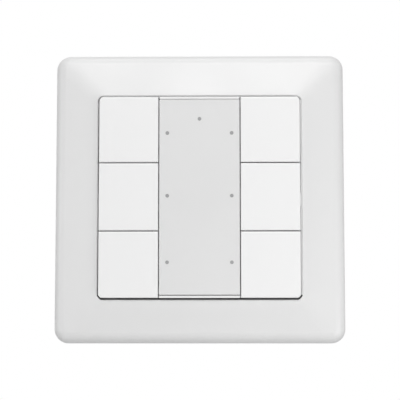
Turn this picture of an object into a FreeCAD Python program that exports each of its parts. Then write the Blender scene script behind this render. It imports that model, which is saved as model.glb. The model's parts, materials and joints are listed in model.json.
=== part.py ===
import FreeCAD, Part
import math
import os
import re
import Sketcher

# Lighting push button for one square wall plate: an arched frame, six hinged keys in two columns, a label
# panel between them, and behind them the key unit, the support plate and the unit in the wall box.
# +X is right, +Z is up and the front faces -Y. The wall is the plane y = 0, and the origin is the middle
# between the two fixing slots. A "front" is a distance out of the wall, so y is minus the front.

# The driving sizes, in millimetres.
SIZES = {
    # Outer frame
    "plate_size": 86.0,
    "plate_corner": 4.2,
    "crown_height": 10.8,
    "crown_drop": 3.32,
    "edge_round": 3.6,
    "mitre_round": 26.0,
    "overcut": 1.0,
    "frame_wall": 2.2,
    "frame_hollow": 3.2,
    "frame_hollow_corner": 2.0,
    "frame_recess": 1.5,
    "opening_size": 60.4,
    "opening_corner": 1.7,
    "lip_round": 0.3,
    "lip_wall": 1.8,
    "ledge_width": 2.0,
    "ledge_thickness": 1.2,
    # Support plate, its slots and the room for the heads of the two screws in them
    "support_size": 71.0,
    "support_corner": 3.0,
    "support_thickness": 1.2,
    "slot_spacing": 60.3,
    "slot_radius": 2.0,
    "slot_length": 7.0,
    "head_room": 8.4,
    "head_room_depth": 4.0,
    # Keys and the panel between them
    "field_gap": 0.5,
    "gap_line": 10.1,
    "key_gap": 0.3,
    "panel_width": 23.7,
    "panel_gap": 0.3,
    "key_thickness": 1.6,
    "key_corner": 1.2,
    "key_edge_round": 0.35,
    "skirt_depth": 0.8,
    "skirt_wall": 1.2,
    "skirt_start": 3.2,
    # Hinge rods, the lugs of the keys and the posts of the carrier
    "hinge_inset": 1.25,
    "hinge_rise": 0.2,
    "rod_radius": 0.6,
    "rod_end_gap": 0.6,
    "rod_seat_gap": 0.02,
    "running_gap": 0.05,
    "lug_radius": 1.2,
    "lug_width": 2.0,
    "lug_offset": 5.5,
    "post_radius": 1.1,
    "post_width": 1.6,
    "post_gap": 0.2,
    "under_key_gap": 0.3,
    # Switches under the keys
    "switch_arm": 9.5,
    "switch_size": 6.0,
    "switch_height": 2.0,
    "switch_floor": 0.5,
    "plunger_radius": 1.7,
    "plunger_tip_radius": 1.4,
    "plunger_gap": 0.08,
    "plunger_rise": 0.8,
    "plunger_room": 0.45,
    "boss_radius": 1.0,
    "boss_gap": 0.1,
    # Key carrier
    "carrier_gap": 0.6,
    "carrier_corner": 1.2,
    "carrier_plate": 1.2,
    "carrier_wall": 1.3,
    "carrier_over_switch": 0.3,
    "window_gap": 0.3,
    "screw_inset": 2.7,
    "screw_boss_radius": 1.8,
    # Key circuit board
    "board_gap": 0.2,
    "board_standoff": 0.3,
    "board_thickness": 1.2,
    "standoff_radius": 1.5,
    "standoff_inset_across": 8.5,
    "standoff_inset_up": 4.5,
    "lamp_length": 1.6,
    "lamp_width": 1.0,
    "lamp_height": 0.6,
    "chip_size": 7.0,
    "chip_height": 0.9,
    "chip_up": -6.5,
    # Rear shell of the key unit
    "shell_side_gap": 0.1,
    "shell_gap": 0.4,
    "shell_wall": 1.0,
    "flange_gap": 0.1,
    "flange_thickness": 1.0,
    "hook_inset": 1.9,
    "hook_up": 14.0,
    "hook_thickness": 1.2,
    "hook_width": 4.4,
    "hook_reach": 1.6,
    "barb_size": 0.6,
    "barb_gap": 0.3,
    "hook_gap": 0.3,
    "module_screw_radius": 0.75,
    "module_head_radius": 1.5,
    "module_head_height": 0.6,
    "module_screw_length": 2.6,
    "module_pilot_room": 0.2,
    # Label panel and light guides
    "panel_drop": 0.1,
    "panel_wall": 1.0,
    "panel_floor": 1.3,
    "panel_lip": 0.55,
    "label_thickness": 0.15,
    "label_inset": 0.15,
    "cover_thickness": 0.75,
    "cover_drop": 0.1,
    "guide_inset": 2.35,
    "guide_row_top": 18.95,
    "guide_row_middle": 0.3,
    "guide_row_bottom": -19.3,
    "status_row": 23.15,
    "guide_radius": 0.52,
    "guide_proud": 0.05,
    "guide_stem_radius": 0.9,
    "guide_collar_radius": 1.1,
    "guide_collar_height": 0.7,
    "guide_gap": 0.05,
    "guide_hole_gap": 0.15,
    "guide_lamp_gap": 0.2,
    # Plug between the key board and the unit in the wall box
    "plug_length": 12.8,
    "plug_width": 5.0,
    "plug_gap": 0.5,
    "plug_pitch": 2.54,
    "pin_size": 0.64,
    "pin_gap": 0.1,
    "pin_reach": 2.6,
    "socket_height": 2.8,
    "socket_bore": 2.4,
    "header_height": 2.4,
    # Housing and lid in the wall box
    "flange_rim": 2.3,
    "housing_corner": 8.0,
    "housing_wall": 1.6,
    "housing_depth": 22.0,
    "housing_gap": 0.3,
    "housing_edge_round": 1.0,
    "flange_hook_gap": 1.4,
    "coupler_flange_corner": 3.0,
    "coupler_flange_thickness": 0.8,
    "lid_gap": 0.1,
    "lid_thickness": 1.2,
    "lid_leg": 2.8,
    "lid_leg_radius": 1.6,
    "pillar_inset": 5.7,
    "pillar_radius": 2.0,
    "screw_hole_gap": 0.1,
    "lid_screw_radius": 0.7,
    "lid_head_radius": 1.4,
    "lid_head_height": 0.6,
    "lid_screw_length": 9.0,
    "flange_screw_inset": 2.3,
    "flange_screw_radius": 0.9,
    "flange_head_radius": 1.5,
    "flange_head_height": 0.6,
    "flange_screw_tip": 0.05,
    # Board and parts in the wall box
    "coupler_board_gap": 0.6,
    "coupler_board_thickness": 1.6,
    "choke_radius": 5.0,
    "choke_waist": 4.2,
    "choke_rim": 1.0,
    "choke_height": 6.5,
    "choke_across": -9.0,
    "choke_up": 7.0,
    "capacitor_radius": 3.5,
    "capacitor_height": 9.0,
    "capacitor_across": 5.5,
    "capacitor_up": 7.0,
    "capacitor_spacing": 8.0,
    "transceiver_size": 6.0,
    "transceiver_height": 1.4,
    "transceiver_across": 12.0,
    "transceiver_up": -5.0,
    "crystal_width": 3.6,
    "crystal_tall": 9.0,
    "crystal_height": 3.2,
    "crystal_across": -12.5,
    "crystal_up": -3.0,
    # Programming button, its switch and its lamp
    "programming_across": 12.0,
    "programming_up": 0.0,
    "programming_radius": 1.6,
    "programming_gap": 0.08,
    "programming_proud": 0.1,
    "programming_stem_radius": 0.8,
    "programming_switch_size": 4.5,
    "programming_switch_height": 1.4,
    "programming_switch_floor": 0.4,
    "programming_stem_room": 0.4,
    "programming_cap_room": 0.4,
    "programming_lamp_up": 6.5,
    "programming_lamp_radius": 1.5,
    "programming_lamp_drop": 0.2,
    # Terminal for the control line
    "terminal_up": -12.0,
    "terminal_width": 11.7,
    "terminal_tall": 10.0,
    "terminal_depth": 9.6,
    "terminal_seat": 0.3,
    "terminal_split": 0.1,
    "recess_gap": 0.35,
    "recess_depth": 9.0,
    "recess_wall": 1.2,
    "terminal_pin_radius": 0.5,
    "terminal_pin_reach": 6.5,
    "terminal_bore_gap": 0.05,
    "terminal_bore_room": 0.5,
    "wire_hole_radius": 0.5,
    "wire_hole_depth": 6.0,
    "wire_hole_across": 1.5,
    "wire_hole_up": 2.8,
}

# Places that follow from the sizes. Each line may use the lines above it.
PLACES = {
    # Outer frame
    "plate_half": "plate_size / 2",
    "opening_half": "opening_size / 2",
    "field_half": "opening_half - field_gap",
    "hollow_half": "plate_half - frame_wall",
    "lip_back_half": "opening_half + lip_wall",
    "ledge_half": "opening_half - ledge_width",
    "ledge_front": "frame_recess + ledge_thickness",
    "blank_depth": "crown_height + overcut",
    "crown_radius": "(plate_half * plate_half + crown_drop * crown_drop) / (2 * crown_drop)",
    "crown_centre": "crown_radius - crown_height",
    "arch_span": "plate_half + overcut",
    "arch_clear": "crown_radius + overcut",
    "slot_across": "slot_spacing / 2",
    "slot_end_inner": "slot_across - slot_length / 2 + slot_radius",
    "slot_end_outer": "slot_across + slot_length / 2 - slot_radius",
    "support_half": "support_size / 2",
    # Fronts of the stack from the wall to the keys
    "coupler_front": "support_thickness + coupler_flange_thickness",
    "shell_back": "coupler_front + shell_gap",
    "shell_front": "shell_back + shell_wall",
    "flange_back": "ledge_front + flange_gap",
    "flange_front": "flange_back + flange_thickness",
    "board_back": "shell_front + board_standoff",
    "board_front": "board_back + board_thickness",
    "lamp_front": "board_front + lamp_height",
    "switch_front": "board_front + switch_height",
    "switch_bore_back": "board_front + switch_floor",
    "plunger_back": "switch_bore_back + plunger_room",
    "plunger_front": "switch_front + plunger_rise",
    "carrier_front": "switch_front + carrier_over_switch",
    "carrier_back": "carrier_front - carrier_plate",
    "hinge_front": "carrier_front + hinge_rise",
    "key_back": "hinge_front + post_radius + under_key_gap",
    "key_front": "key_back + key_thickness",
    "skirt_front": "key_back - skirt_depth",
    "boss_front": "plunger_front + boss_gap",
    # Layout of the keys
    "panel_half": "panel_width / 2",
    "key_inner": "panel_half + panel_gap",
    "hinge_across": "key_inner + hinge_inset",
    "skirt_inner": "key_inner + skirt_start",
    "switch_across": "hinge_across + switch_arm",
    "middle_key_half": "gap_line - key_gap / 2",
    "outer_key_half": "(field_half - gap_line - key_gap / 2) / 2",
    "row_up": "(field_half + gap_line + key_gap / 2) / 2",
    "lug_low": "lug_offset - lug_width / 2",
    "lug_high": "lug_offset + lug_width / 2",
    "post_low": "lug_high + post_gap",
    "post_high": "post_low + post_width",
    "rod_half": "field_half - rod_end_gap",
    # Key carrier, key board and rear shell
    "carrier_half": "opening_half - carrier_gap",
    "carrier_inner": "carrier_half - carrier_wall",
    "screw_place": "carrier_inner - screw_inset",
    "board_half": "carrier_inner - board_gap",
    "board_notch": "screw_place - screw_boss_radius - window_gap",
    "standoff_across": "board_half - standoff_inset_across",
    "standoff_up": "board_half - standoff_inset_up",
    "shell_half": "ledge_half - shell_side_gap",
    "head_room_inner": "slot_across - head_room / 2",
    "head_room_outer": "slot_across + head_room / 2",
    "hook_outer": "shell_half - hook_inset",
    "hook_inner": "hook_outer - hook_thickness",
    # Label panel and light guides
    "guide_across": "panel_half - guide_inset",
    "panel_front": "key_front - panel_drop",
    "cover_front": "panel_front - cover_drop",
    "cover_back": "cover_front - cover_thickness",
    "label_back": "cover_back - label_thickness",
    "panel_floor_back": "label_back - panel_floor",
    "label_pocket_half": "field_half - panel_lip",
    "label_half": "label_pocket_half - label_inset",
    "guide_back": "lamp_front + guide_lamp_gap",
    "guide_collar_front": "carrier_front + guide_collar_height",
    "guide_front": "cover_front + guide_proud",
    # Unit in the wall box
    "coupler_flange_half": "hook_inner - flange_hook_gap",
    "flange_screw_place": "coupler_flange_half - flange_screw_inset",
    "housing_half": "coupler_flange_half - flange_rim",
    "housing_inner": "housing_half - housing_wall",
    "housing_inner_corner": "housing_corner - housing_wall",
    "pillar_place": "housing_inner - pillar_inset",
    "lid_half": "housing_inner - lid_gap",
    "lid_back": "coupler_front - lid_thickness",
    "coupler_board_front": "lid_back - lid_leg",
    "coupler_board_back": "coupler_board_front - coupler_board_thickness",
    "coupler_board_half": "housing_inner - coupler_board_gap",
    "lid_screw_back": "coupler_front - lid_screw_length",
    "header_front": "coupler_board_front + header_height",
    "socket_back": "board_back - socket_height",
    "programming_front": "coupler_front + programming_proud",
    "programming_switch_front": "coupler_board_front + programming_switch_height",
    "programming_cap_back": "programming_switch_front + programming_cap_room",
    "programming_bore_back": "coupler_board_front + programming_switch_floor",
    "programming_stem_back": "programming_bore_back + programming_stem_room",
    "programming_lamp_front": "coupler_front - programming_lamp_drop",
    # Terminal for the control line
    "recess_front": "recess_depth - housing_depth",
    "recess_half": "terminal_width / 2 + recess_gap",
    "recess_half_up": "terminal_tall / 2 + recess_gap",
    "terminal_front": "recess_front - terminal_seat",
    "terminal_back": "terminal_front - terminal_depth",
    "terminal_inner": "terminal_split / 2",
    "terminal_outer": "terminal_width / 2",
    "terminal_pin_across": "(terminal_inner + terminal_outer) / 2",
    "terminal_pin_back": "recess_front - terminal_pin_reach",
    "terminal_bore_back": "terminal_pin_back - terminal_bore_room",
}

SHEET_OF = {name: "Sizes" for name in SIZES} | {name: "Places" for name in PLACES}
SIDES = {"left": -1, "right": 1}
ROWS = {"top": 1, "middle": 0, "bottom": -1}
CORNERS = [(-1, -1), (1, -1), (1, 1), (-1, 1)]
HINGE_LIMIT_DEG = 2.0

doc = FreeCAD.newDocument("lighting_push_button")


def make_sheet(title, cells):
    """Put names and values in a sheet, one per row, with each name as its cell's alias."""
    sheet = doc.addObject("Spreadsheet::Sheet", title)
    for row, (name, content) in enumerate(cells.items(), start=1):
        sheet.set(f"A{row}", name)
        sheet.set(f"B{row}", content)
        sheet.setAlias(f"B{row}", name)
    return sheet


def formula(text):
    """Write each size or place in a formula with the sheet that holds it."""
    return re.sub(r"[a-z_]+", lambda word: f"{SHEET_OF[word.group()]}.{word.group()}", text)


def signed(sign, text):
    """The same formula on the positive or the negative side of zero."""
    return f"{sign} * ({text})"


def bind(thing, prop, text):
    """Tie a property to a formula of the sizes."""
    thing.setExpression(prop, formula(text))


def size(name):
    """The present value of a size or a place."""
    return doc.getObject(SHEET_OF[name]).get(name)


def new_body(name):
    body = doc.addObject("PartDesign::Body", name)
    body.Label = name
    return body


def plane_of(body, role):
    """The plane or axis of the body's own origin that has this role."""
    return next(entry for entry in body.Origin.OriginFeatures if entry.Role == role)


def new_sketch(body, name, lift="0", role="XZ_Plane"):
    """A sketch seen from the front, lifted out of the wall, or on another plane of the body."""
    sketch = body.newObject("Sketcher::SketchObject", f"{body.Name}_{name}")
    sketch.AttachmentSupport = (plane_of(body, role), [""])
    sketch.MapMode = "FlatFace"
    bind(sketch, "AttachmentOffset.Base.z", lift)
    return sketch


def set_dimension(sketch, kind, where, start, name, text):
    """Add a named dimension, from the origin where it is a distance, and tie it to a formula."""
    index = sketch.addConstraint(Sketcher.Constraint(kind, *where, start))
    sketch.renameConstraint(index, name)
    bind(sketch, f"Constraints.{name}", text)


def add_outline(sketch, tag, corners):
    """A closed outline of straight lines, with each corner placed from the origin by its formulas."""
    count = len(corners)
    turn = 2 * math.pi / count
    near = [FreeCAD.Vector(math.cos(turn * i + 0.1), math.sin(turn * i + 0.1), 0) for i in range(count)]
    lines = [Part.LineSegment(near[i], near[(i + 1) % count]) for i in range(count)]
    drawn = sketch.addGeometry(lines)
    joined = [Sketcher.Constraint("Coincident", drawn[i - 1], 2, drawn[i], 1) for i in range(count)]
    sketch.addConstraint(joined)
    for i, (across, up) in enumerate(corners):
        set_dimension(sketch, "DistanceX", (-1, 1, drawn[i], 1), near[i].x, f"{tag}_across_{i}", across)
        set_dimension(sketch, "DistanceY", (-1, 1, drawn[i], 1), near[i].y, f"{tag}_up_{i}", up)


def add_rectangle(sketch, tag, left, right, low, high):
    add_outline(sketch, tag, [(left, low), (right, low), (right, high), (left, high)])


def add_square(sketch, tag, half, across="0", up="0"):
    """A square given by its middle and half its side."""
    sides = [f"{across} - ({half})", f"{across} + {half}", f"{up} - ({half})", f"{up} + {half}"]
    add_rectangle(sketch, tag, *sides)


def add_rounded_square(sketch, tag, half, radius):
    """A square about the origin with round corners, from the names of its half side and corner radius."""
    reach = size(half)
    bend = size(radius)
    shape = []
    for quarter in range(4):
        turn = FreeCAD.Rotation(FreeCAD.Vector(0, 0, 1), 90 * quarter)
        start = turn.multVec(FreeCAD.Vector(bend - reach, -reach, 0))
        end = turn.multVec(FreeCAD.Vector(reach - bend, -reach, 0))
        middle = turn.multVec(FreeCAD.Vector(reach - bend, bend - reach, 0))
        corner = Part.Circle(middle, FreeCAD.Vector(0, 0, 1), bend)
        low = math.pi / 2 * (quarter - 1)
        shape += [Part.LineSegment(start, end), Part.ArcOfCircle(corner, low, low + math.pi / 2)]
    drawn = sketch.addGeometry(shape)
    joined = [Sketcher.Constraint("Tangent", drawn[i - 1], 2, drawn[i], 1) for i in range(8)]
    alike = [Sketcher.Constraint("Equal", drawn[1], drawn[i]) for i in (3, 5, 7)]
    level = [Sketcher.Constraint("Horizontal", drawn[i]) for i in (0, 4)]
    sketch.addConstraint(joined + alike + level)
    set_dimension(sketch, "DistanceY", (-1, 1, drawn[0], 1), -reach, f"{tag}_low", f"-{half}")
    set_dimension(sketch, "DistanceX", (-1, 1, drawn[2], 1), reach, f"{tag}_right", half)
    set_dimension(sketch, "DistanceY", (-1, 1, drawn[4], 1), reach, f"{tag}_high", half)
    set_dimension(sketch, "DistanceX", (-1, 1, drawn[6], 1), -reach, f"{tag}_left", f"-{half}")
    set_dimension(sketch, "Radius", (drawn[1],), bend, f"{tag}_corner", radius)


def add_slot(sketch, tag, left, right, radius):
    """A level slot on the origin's line with round ends about two places, from the names of its sizes."""
    reach = size(radius)
    ends = [FreeCAD.Vector(place, 0, 0) for place in (left[0] * size(left[1]), right[0] * size(right[1]))]
    below = FreeCAD.Vector(0, -reach, 0)
    rounds = [Part.Circle(end, FreeCAD.Vector(0, 0, 1), reach) for end in ends]
    quarter = math.pi / 2
    shape = [
        Part.LineSegment(ends[0] + below, ends[1] + below),
        Part.ArcOfCircle(rounds[1], -quarter, quarter),
        Part.LineSegment(ends[1] - below, ends[0] - below),
        Part.ArcOfCircle(rounds[0], quarter, 3 * quarter),
    ]
    drawn = sketch.addGeometry(shape)
    joined = [Sketcher.Constraint("Tangent", drawn[i - 1], 2, drawn[i], 1) for i in range(4)]
    sketch.addConstraint(joined + [Sketcher.Constraint("Equal", drawn[1], drawn[3])])
    set_dimension(sketch, "Radius", (drawn[1],), reach, f"{tag}_radius", radius)
    for end, arc, (sign, name) in ((ends[1], drawn[1], right), (ends[0], drawn[3], left)):
        set_dimension(sketch, "DistanceX", (-1, 1, arc, 3), end.x, f"{tag}_end_{arc}", signed(sign, name))
        set_dimension(sketch, "DistanceY", (-1, 1, arc, 3), 0, f"{tag}_level_{arc}", "0")


def add_circle(sketch, tag, across, up, radius):
    drawn = sketch.addGeometry(Part.Circle(FreeCAD.Vector(1, 1, 0), FreeCAD.Vector(0, 0, 1), 1))
    set_dimension(sketch, "DistanceX", (-1, 1, drawn, 3), 1, f"{tag}_across", across)
    set_dimension(sketch, "DistanceY", (-1, 1, drawn, 3), 1, f"{tag}_up", up)
    set_dimension(sketch, "Radius", (drawn,), 1, f"{tag}_radius", radius)


def add_lug(sketch, tag, radius, foot):
    """The side view of a lug or post on the hinge line: straight sides and a round end away from its foot."""
    middle = FreeCAD.Vector(size("hinge_across"), -size("hinge_front"), 0)
    reach = FreeCAD.Vector(size(radius), 0, 0)
    depth = -size(foot)
    start_angle = math.pi if depth < middle.y else 0
    # The foot is nearer to the front than the hinge on a key's lug, and nearer to the wall on a post.
    round_end = Part.Circle(middle, FreeCAD.Vector(0, 0, 1), reach.x)
    arc = Part.ArcOfCircle(round_end, start_angle + math.pi, start_angle + 2 * math.pi)
    arc_start = arc.StartPoint
    arc_end = arc.EndPoint
    foot_start = FreeCAD.Vector(arc_start.x, depth, 0)
    foot_end = FreeCAD.Vector(arc_end.x, depth, 0)
    shape = [arc, Part.LineSegment(arc_end, foot_end), Part.LineSegment(foot_end, foot_start)]
    drawn = sketch.addGeometry(shape + [Part.LineSegment(foot_start, arc_start)])
    joined = [Sketcher.Constraint("Coincident", drawn[i - 1], 2, drawn[i], 1) for i in range(4)]
    squared = [
        Sketcher.Constraint("Vertical", drawn[1]),
        Sketcher.Constraint("Vertical", drawn[3]),
        Sketcher.Constraint("Horizontal", drawn[2]),
        Sketcher.Constraint("Horizontal", drawn[0], 1, drawn[0], 3),
        Sketcher.Constraint("Horizontal", drawn[0], 2, drawn[0], 3),
    ]
    sketch.addConstraint(joined + squared)
    set_dimension(sketch, "DistanceX", (-1, 1, drawn[0], 3), middle.x, f"{tag}_across", "hinge_across")
    set_dimension(sketch, "DistanceY", (-1, 1, drawn[0], 3), middle.y, f"{tag}_depth", "-hinge_front")
    set_dimension(sketch, "DistanceY", (-1, 1, drawn[2], 1), depth, f"{tag}_foot", f"-{foot}")
    set_dimension(sketch, "Radius", (drawn[0],), reach.x, f"{tag}_radius", radius)


def pad(body, name, sketch, length):
    """Add material from the sketch along its own direction: to the front, or up from a level sketch."""
    feature = body.newObject("PartDesign::Pad", f"{body.Name}_{name}")
    feature.Profile = sketch
    bind(feature, "Length", length)
    return feature


def cut_back(body, name, sketch, length):
    """Cut from the sketch towards the wall."""
    feature = body.newObject("PartDesign::Pocket", f"{body.Name}_{name}")
    feature.Profile = sketch
    bind(feature, "Length", length)
    return feature


def cut_front(body, name, sketch, length):
    """Cut from the sketch towards the front."""
    feature = cut_back(body, name, sketch, length)
    feature.Reversed = True
    return feature


def cut_both(body, name, sketch, length):
    """Cut half of the length to each side of the sketch."""
    feature = cut_back(body, name, sketch, length)
    feature.SideType = "Symmetric"
    return feature


def mirror(body, name, feature, role):
    copy = body.newObject("PartDesign::Mirrored", f"{body.Name}_{name}")
    copy.Originals = [feature]
    copy.MirrorPlane = (plane_of(body, role), [""])
    body.Tip = copy
    return copy


def round_edges(body, name, radius, chosen):
    """Round the edges of the body's last feature that the given test chooses."""
    doc.recompute()
    feature = body.Tip
    edges = [f"Edge{i}" for i, edge in enumerate(feature.Shape.Edges, start=1) if chosen(edge)]
    if not edges:
        raise RuntimeError(f"{body.Name}: no edge to round for {name}")
    fillet = body.newObject("PartDesign::Fillet", f"{body.Name}_{name}")
    fillet.Base = (feature, edges)
    bind(fillet, "Radius", radius)
    return fillet


def runs_in_depth(edge):
    box = edge.BoundBox
    return box.XLength < 1e-6 and box.ZLength < 1e-6


def corner_of_square(half):
    """A test for the edges that run in depth along the corners of a square about the middle."""

    def chosen(edge):
        box = edge.BoundBox
        return runs_in_depth(edge) and abs(abs(box.XMin) - half) < 1e-4 and abs(abs(box.ZMin) - half) < 1e-4

    return chosen


def lies_at_front(front):
    """A test for the edges that lie in one plane parallel to the wall."""

    def chosen(edge):
        box = edge.BoundBox
        return box.YLength < 1e-6 and abs(box.YMin + front) < 1e-6

    return chosen


def turned(name, across, up, steps):
    """A turned piece along the depth, from its steps: back front, front front and radius of each."""
    body = new_body(name)
    sketch = new_sketch(body, "profile", role="XY_Plane")
    corners = [("0", f"-({steps[0][0]})")]
    for back, front, radius in steps:
        corners.append((radius, f"-({back})"))
        corners.append((radius, f"-({front})"))
    corners.append(("0", f"-({steps[-1][1]})"))
    add_outline(sketch, "step", corners)
    revolution = body.newObject("PartDesign::Revolution", f"{name}_turn")
    revolution.Profile = sketch
    revolution.ReferenceAxis = (sketch, ["V_Axis"])
    revolution.Angle = 360
    bind(body, "Placement.Base.x", across)
    bind(body, "Placement.Base.z", up)
    return body


def block(name, across, up, width, tall, back, depth):
    """A plain block about a middle, from its back towards the front."""
    box = doc.addObject("Part::Box", name)
    bind(box, "Length", width)
    bind(box, "Width", depth)
    bind(box, "Height", tall)
    bind(box, "Placement.Base.x", f"{across} - ({width}) / 2")
    bind(box, "Placement.Base.y", f"-({back}) - ({depth})")
    bind(box, "Placement.Base.z", f"{up} - ({tall}) / 2")
    return box


def group(name, members):
    """Several loose solids of one kind that share a node."""
    together = doc.addObject("Part::Compound", name)
    together.Links = members
    return together


def guide_places():
    """Name, across and up of the seven light guides."""
    places = [("status_light_guide", "0", "status_row")]
    for side, sign in SIDES.items():
        for row in ROWS:
            places.append((f"light_guide_{side}_{row}", signed(sign, "guide_across"), f"guide_row_{row}"))
    return places


def key_places():
    """Side, row, and the signs of across and up of the six keys."""
    return [(side, row, SIDES[side], ROWS[row]) for side in SIDES for row in ROWS]


def arch_front(body):
    """Arch the plate's front across its width, and in the same way over its height."""
    arch = new_sketch(body, "arch", role="XY_Plane")
    bind(arch, "AttachmentOffset.Base.y", "crown_centre")
    radius = size("crown_radius")
    span = size("arch_span")
    lean = math.asin(span / radius)
    roll = Part.Circle(FreeCAD.Vector(0, 0, 0), FreeCAD.Vector(0, 0, 1), radius)
    arc = Part.ArcOfCircle(roll, 1.5 * math.pi - lean, 1.5 * math.pi + lean)
    right = FreeCAD.Vector(span, -size("arch_clear"), 0)
    left = FreeCAD.Vector(-span, -size("arch_clear"), 0)
    lines = [
        Part.LineSegment(arc.EndPoint, right),
        Part.LineSegment(right, left),
        Part.LineSegment(left, arc.StartPoint),
    ]
    drawn = arch.addGeometry([arc] + lines)
    joined = [Sketcher.Constraint("Coincident", drawn[i - 1], 2, drawn[i], 1) for i in range(4)]
    squared = [
        Sketcher.Constraint("Vertical", drawn[1]),
        Sketcher.Constraint("Vertical", drawn[3]),
        Sketcher.Constraint("Horizontal", drawn[2]),
        Sketcher.Constraint("Coincident", drawn[0], 3, -1, 1),
    ]
    arch.addConstraint(joined + squared)
    set_dimension(arch, "Radius", (drawn[0],), radius, "arch_radius", "crown_radius")
    set_dimension(arch, "DistanceX", (-1, 1, drawn[1], 2), span, "span_right", "arch_span")
    set_dimension(arch, "DistanceX", (-1, 1, drawn[2], 2), -span, "span_left", "-arch_span")
    set_dimension(arch, "DistanceY", (-1, 1, drawn[1], 2), right.y, "clear_of_plate", "-arch_clear")
    across = cut_both(body, "arch_across", arch, "2 * arch_span")
    over = body.newObject("PartDesign::PolarPattern", f"{body.Name}_arch_over")
    over.Originals = [across]
    over.Axis = (plane_of(body, "Y_Axis"), [""])
    over.Angle = 90
    over.Occurrences = 2
    body.Tip = over


def soften_front(body):
    """Round the four mitres between the arches, the rim of the plate and the lip of its opening."""
    near_rim = size("plate_half") - size("plate_corner") / 3
    near_lip = size("opening_half") + size("overcut")
    deep = -size("ledge_front") - size("overcut")

    def ends_of(edge):
        return [(abs(corner.X), abs(corner.Z)) for corner in edge.Vertexes]

    def in_front(edge):
        return edge.BoundBox.YMax < deep and not runs_in_depth(edge)

    def on_mitre(edge):
        level = all(abs(across - up) < 1e-4 for across, up in ends_of(edge))
        return in_front(edge) and level and edge.BoundBox.XLength > size("overcut")

    def on_rim(edge):
        return in_front(edge) and all(max(end) > near_rim for end in ends_of(edge))

    def on_lip(edge):
        return in_front(edge) and all(max(end) < near_lip for end in ends_of(edge))

    round_edges(body, "mitres", "mitre_round", on_mitre)
    round_edges(body, "rim", "edge_round", on_rim)
    round_edges(body, "lip", "lip_round", on_lip)


def make_outer_frame():
    """The arched plate with its square opening, the ledge for the key unit and its hollow back."""
    body = new_body("outer_frame")
    outline = new_sketch(body, "outline")
    add_square(outline, "plate", "plate_half")
    pad(body, "blank", outline, "blank_depth")
    round_edges(body, "corners", "plate_corner", corner_of_square(size("plate_half")))

    arch_front(body)
    opening = new_sketch(body, "opening", "blank_depth")
    add_square(opening, "opening", "opening_half")
    cut_back(body, "field_opening", opening, "blank_depth - ledge_front")
    round_edges(body, "opening_corners", "opening_corner", corner_of_square(size("opening_half")))
    soften_front(body)
    ledge = new_sketch(body, "ledge", "ledge_front")
    add_square(ledge, "ledge", "ledge_half")
    cut_back(body, "ledge_opening", ledge, "ledge_front")

    recess = new_sketch(body, "recess")
    add_square(recess, "recess", "hollow_half")
    cut_front(body, "back_recess", recess, "frame_recess")
    hollow = new_sketch(body, "hollow")
    add_square(hollow, "outside", "hollow_half")
    add_square(hollow, "inside", "lip_back_half")
    cut_front(body, "back_hollow", hollow, "frame_hollow")
    round_edges(body, "hollow_corners", "frame_hollow_corner", corner_of_square(size("hollow_half")))

    heads = new_sketch(body, "heads")
    for side, sign in SIDES.items():
        inner = signed(sign, "ledge_half - overcut")
        outer = signed(sign, "head_room_outer")
        add_rectangle(heads, side, inner, outer, "-head_room / 2", "head_room / 2")
    cut_front(body, "screw_head_room", heads, "head_room_depth")
    return body


def make_key(side, row):
    """One key, drawn for the right column about its own middle. A left key is one turned half round."""
    side_sign = SIDES[side]
    row_sign = ROWS[row]
    half = "outer_key_half" if row_sign else "middle_key_half"
    body = new_body(f"key_{side}_{row}")
    outline = new_sketch(body, "outline", "skirt_front")
    add_rectangle(outline, "key", "key_inner", "field_half", f"-{half}", half)
    pad(body, "slab", outline, "key_front - skirt_front")
    if row_sign:
        # The two keys at each end of the field have one rounder corner, which follows the opening's corner.
        corner_up = row_sign * side_sign * size(half)
        corner_across = size("field_half")

        def at_corner(edge):
            box = edge.BoundBox
            close = abs(box.XMin - corner_across) < 1e-4 and abs(box.ZMin - corner_up) < 1e-4
            return runs_in_depth(edge) and close

        round_edges(body, "corner", "key_corner", at_corner)
    round_edges(body, "front_edges", "key_edge_round", lies_at_front(size("key_front")))

    hollow = new_sketch(body, "hollow", "skirt_front")
    inner_half = f"{half} - skirt_wall"
    step = [
        ("key_inner - overcut", f"-{half} - overcut"),
        ("skirt_inner", f"-{half} - overcut"),
        ("skirt_inner", f"-({inner_half})"),
        ("field_half - skirt_wall", f"-({inner_half})"),
        ("field_half - skirt_wall", inner_half),
        ("skirt_inner", inner_half),
        ("skirt_inner", f"{half} + overcut"),
        ("key_inner - overcut", f"{half} + overcut"),
    ]
    add_outline(hollow, "skirt", step)
    cut_front(body, "underside", hollow, "skirt_depth")

    boss = new_sketch(body, "boss", "boss_front")
    add_circle(boss, "boss", "switch_across", "0", "boss_radius")
    pad(body, "push_boss", boss, "key_back - boss_front")
    lug = new_sketch(body, "lug", "lug_low", "XY_Plane")
    add_lug(lug, "lug", "lug_radius", "key_back")
    high_lug = pad(body, "high_lug", lug, "lug_width")
    mirror(body, "low_lug", high_lug, "XY_Plane")
    bore = new_sketch(body, "bore", role="XY_Plane")
    add_circle(bore, "bore", "hinge_across", "-hinge_front", "rod_radius + running_gap")
    cut_both(body, "rod_bore", bore, "2 * lug_high + overcut")

    if side_sign < 0:
        body.Placement = FreeCAD.Placement(FreeCAD.Vector(), FreeCAD.Rotation(FreeCAD.Vector(0, 1, 0), 180))
    bind(body, "Placement.Base.z", signed(row_sign, "row_up"))
    return body


def make_hinge_rod(side):
    """The steel rod that the three keys of one column turn on."""
    rod = doc.addObject("Part::Cylinder", f"hinge_rod_{side}")
    bind(rod, "Radius", "rod_radius")
    bind(rod, "Height", "2 * rod_half")
    bind(rod, "Placement.Base.x", signed(SIDES[side], "hinge_across"))
    bind(rod, "Placement.Base.y", "-hinge_front")
    bind(rod, "Placement.Base.z", "-rod_half")
    return rod


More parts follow.
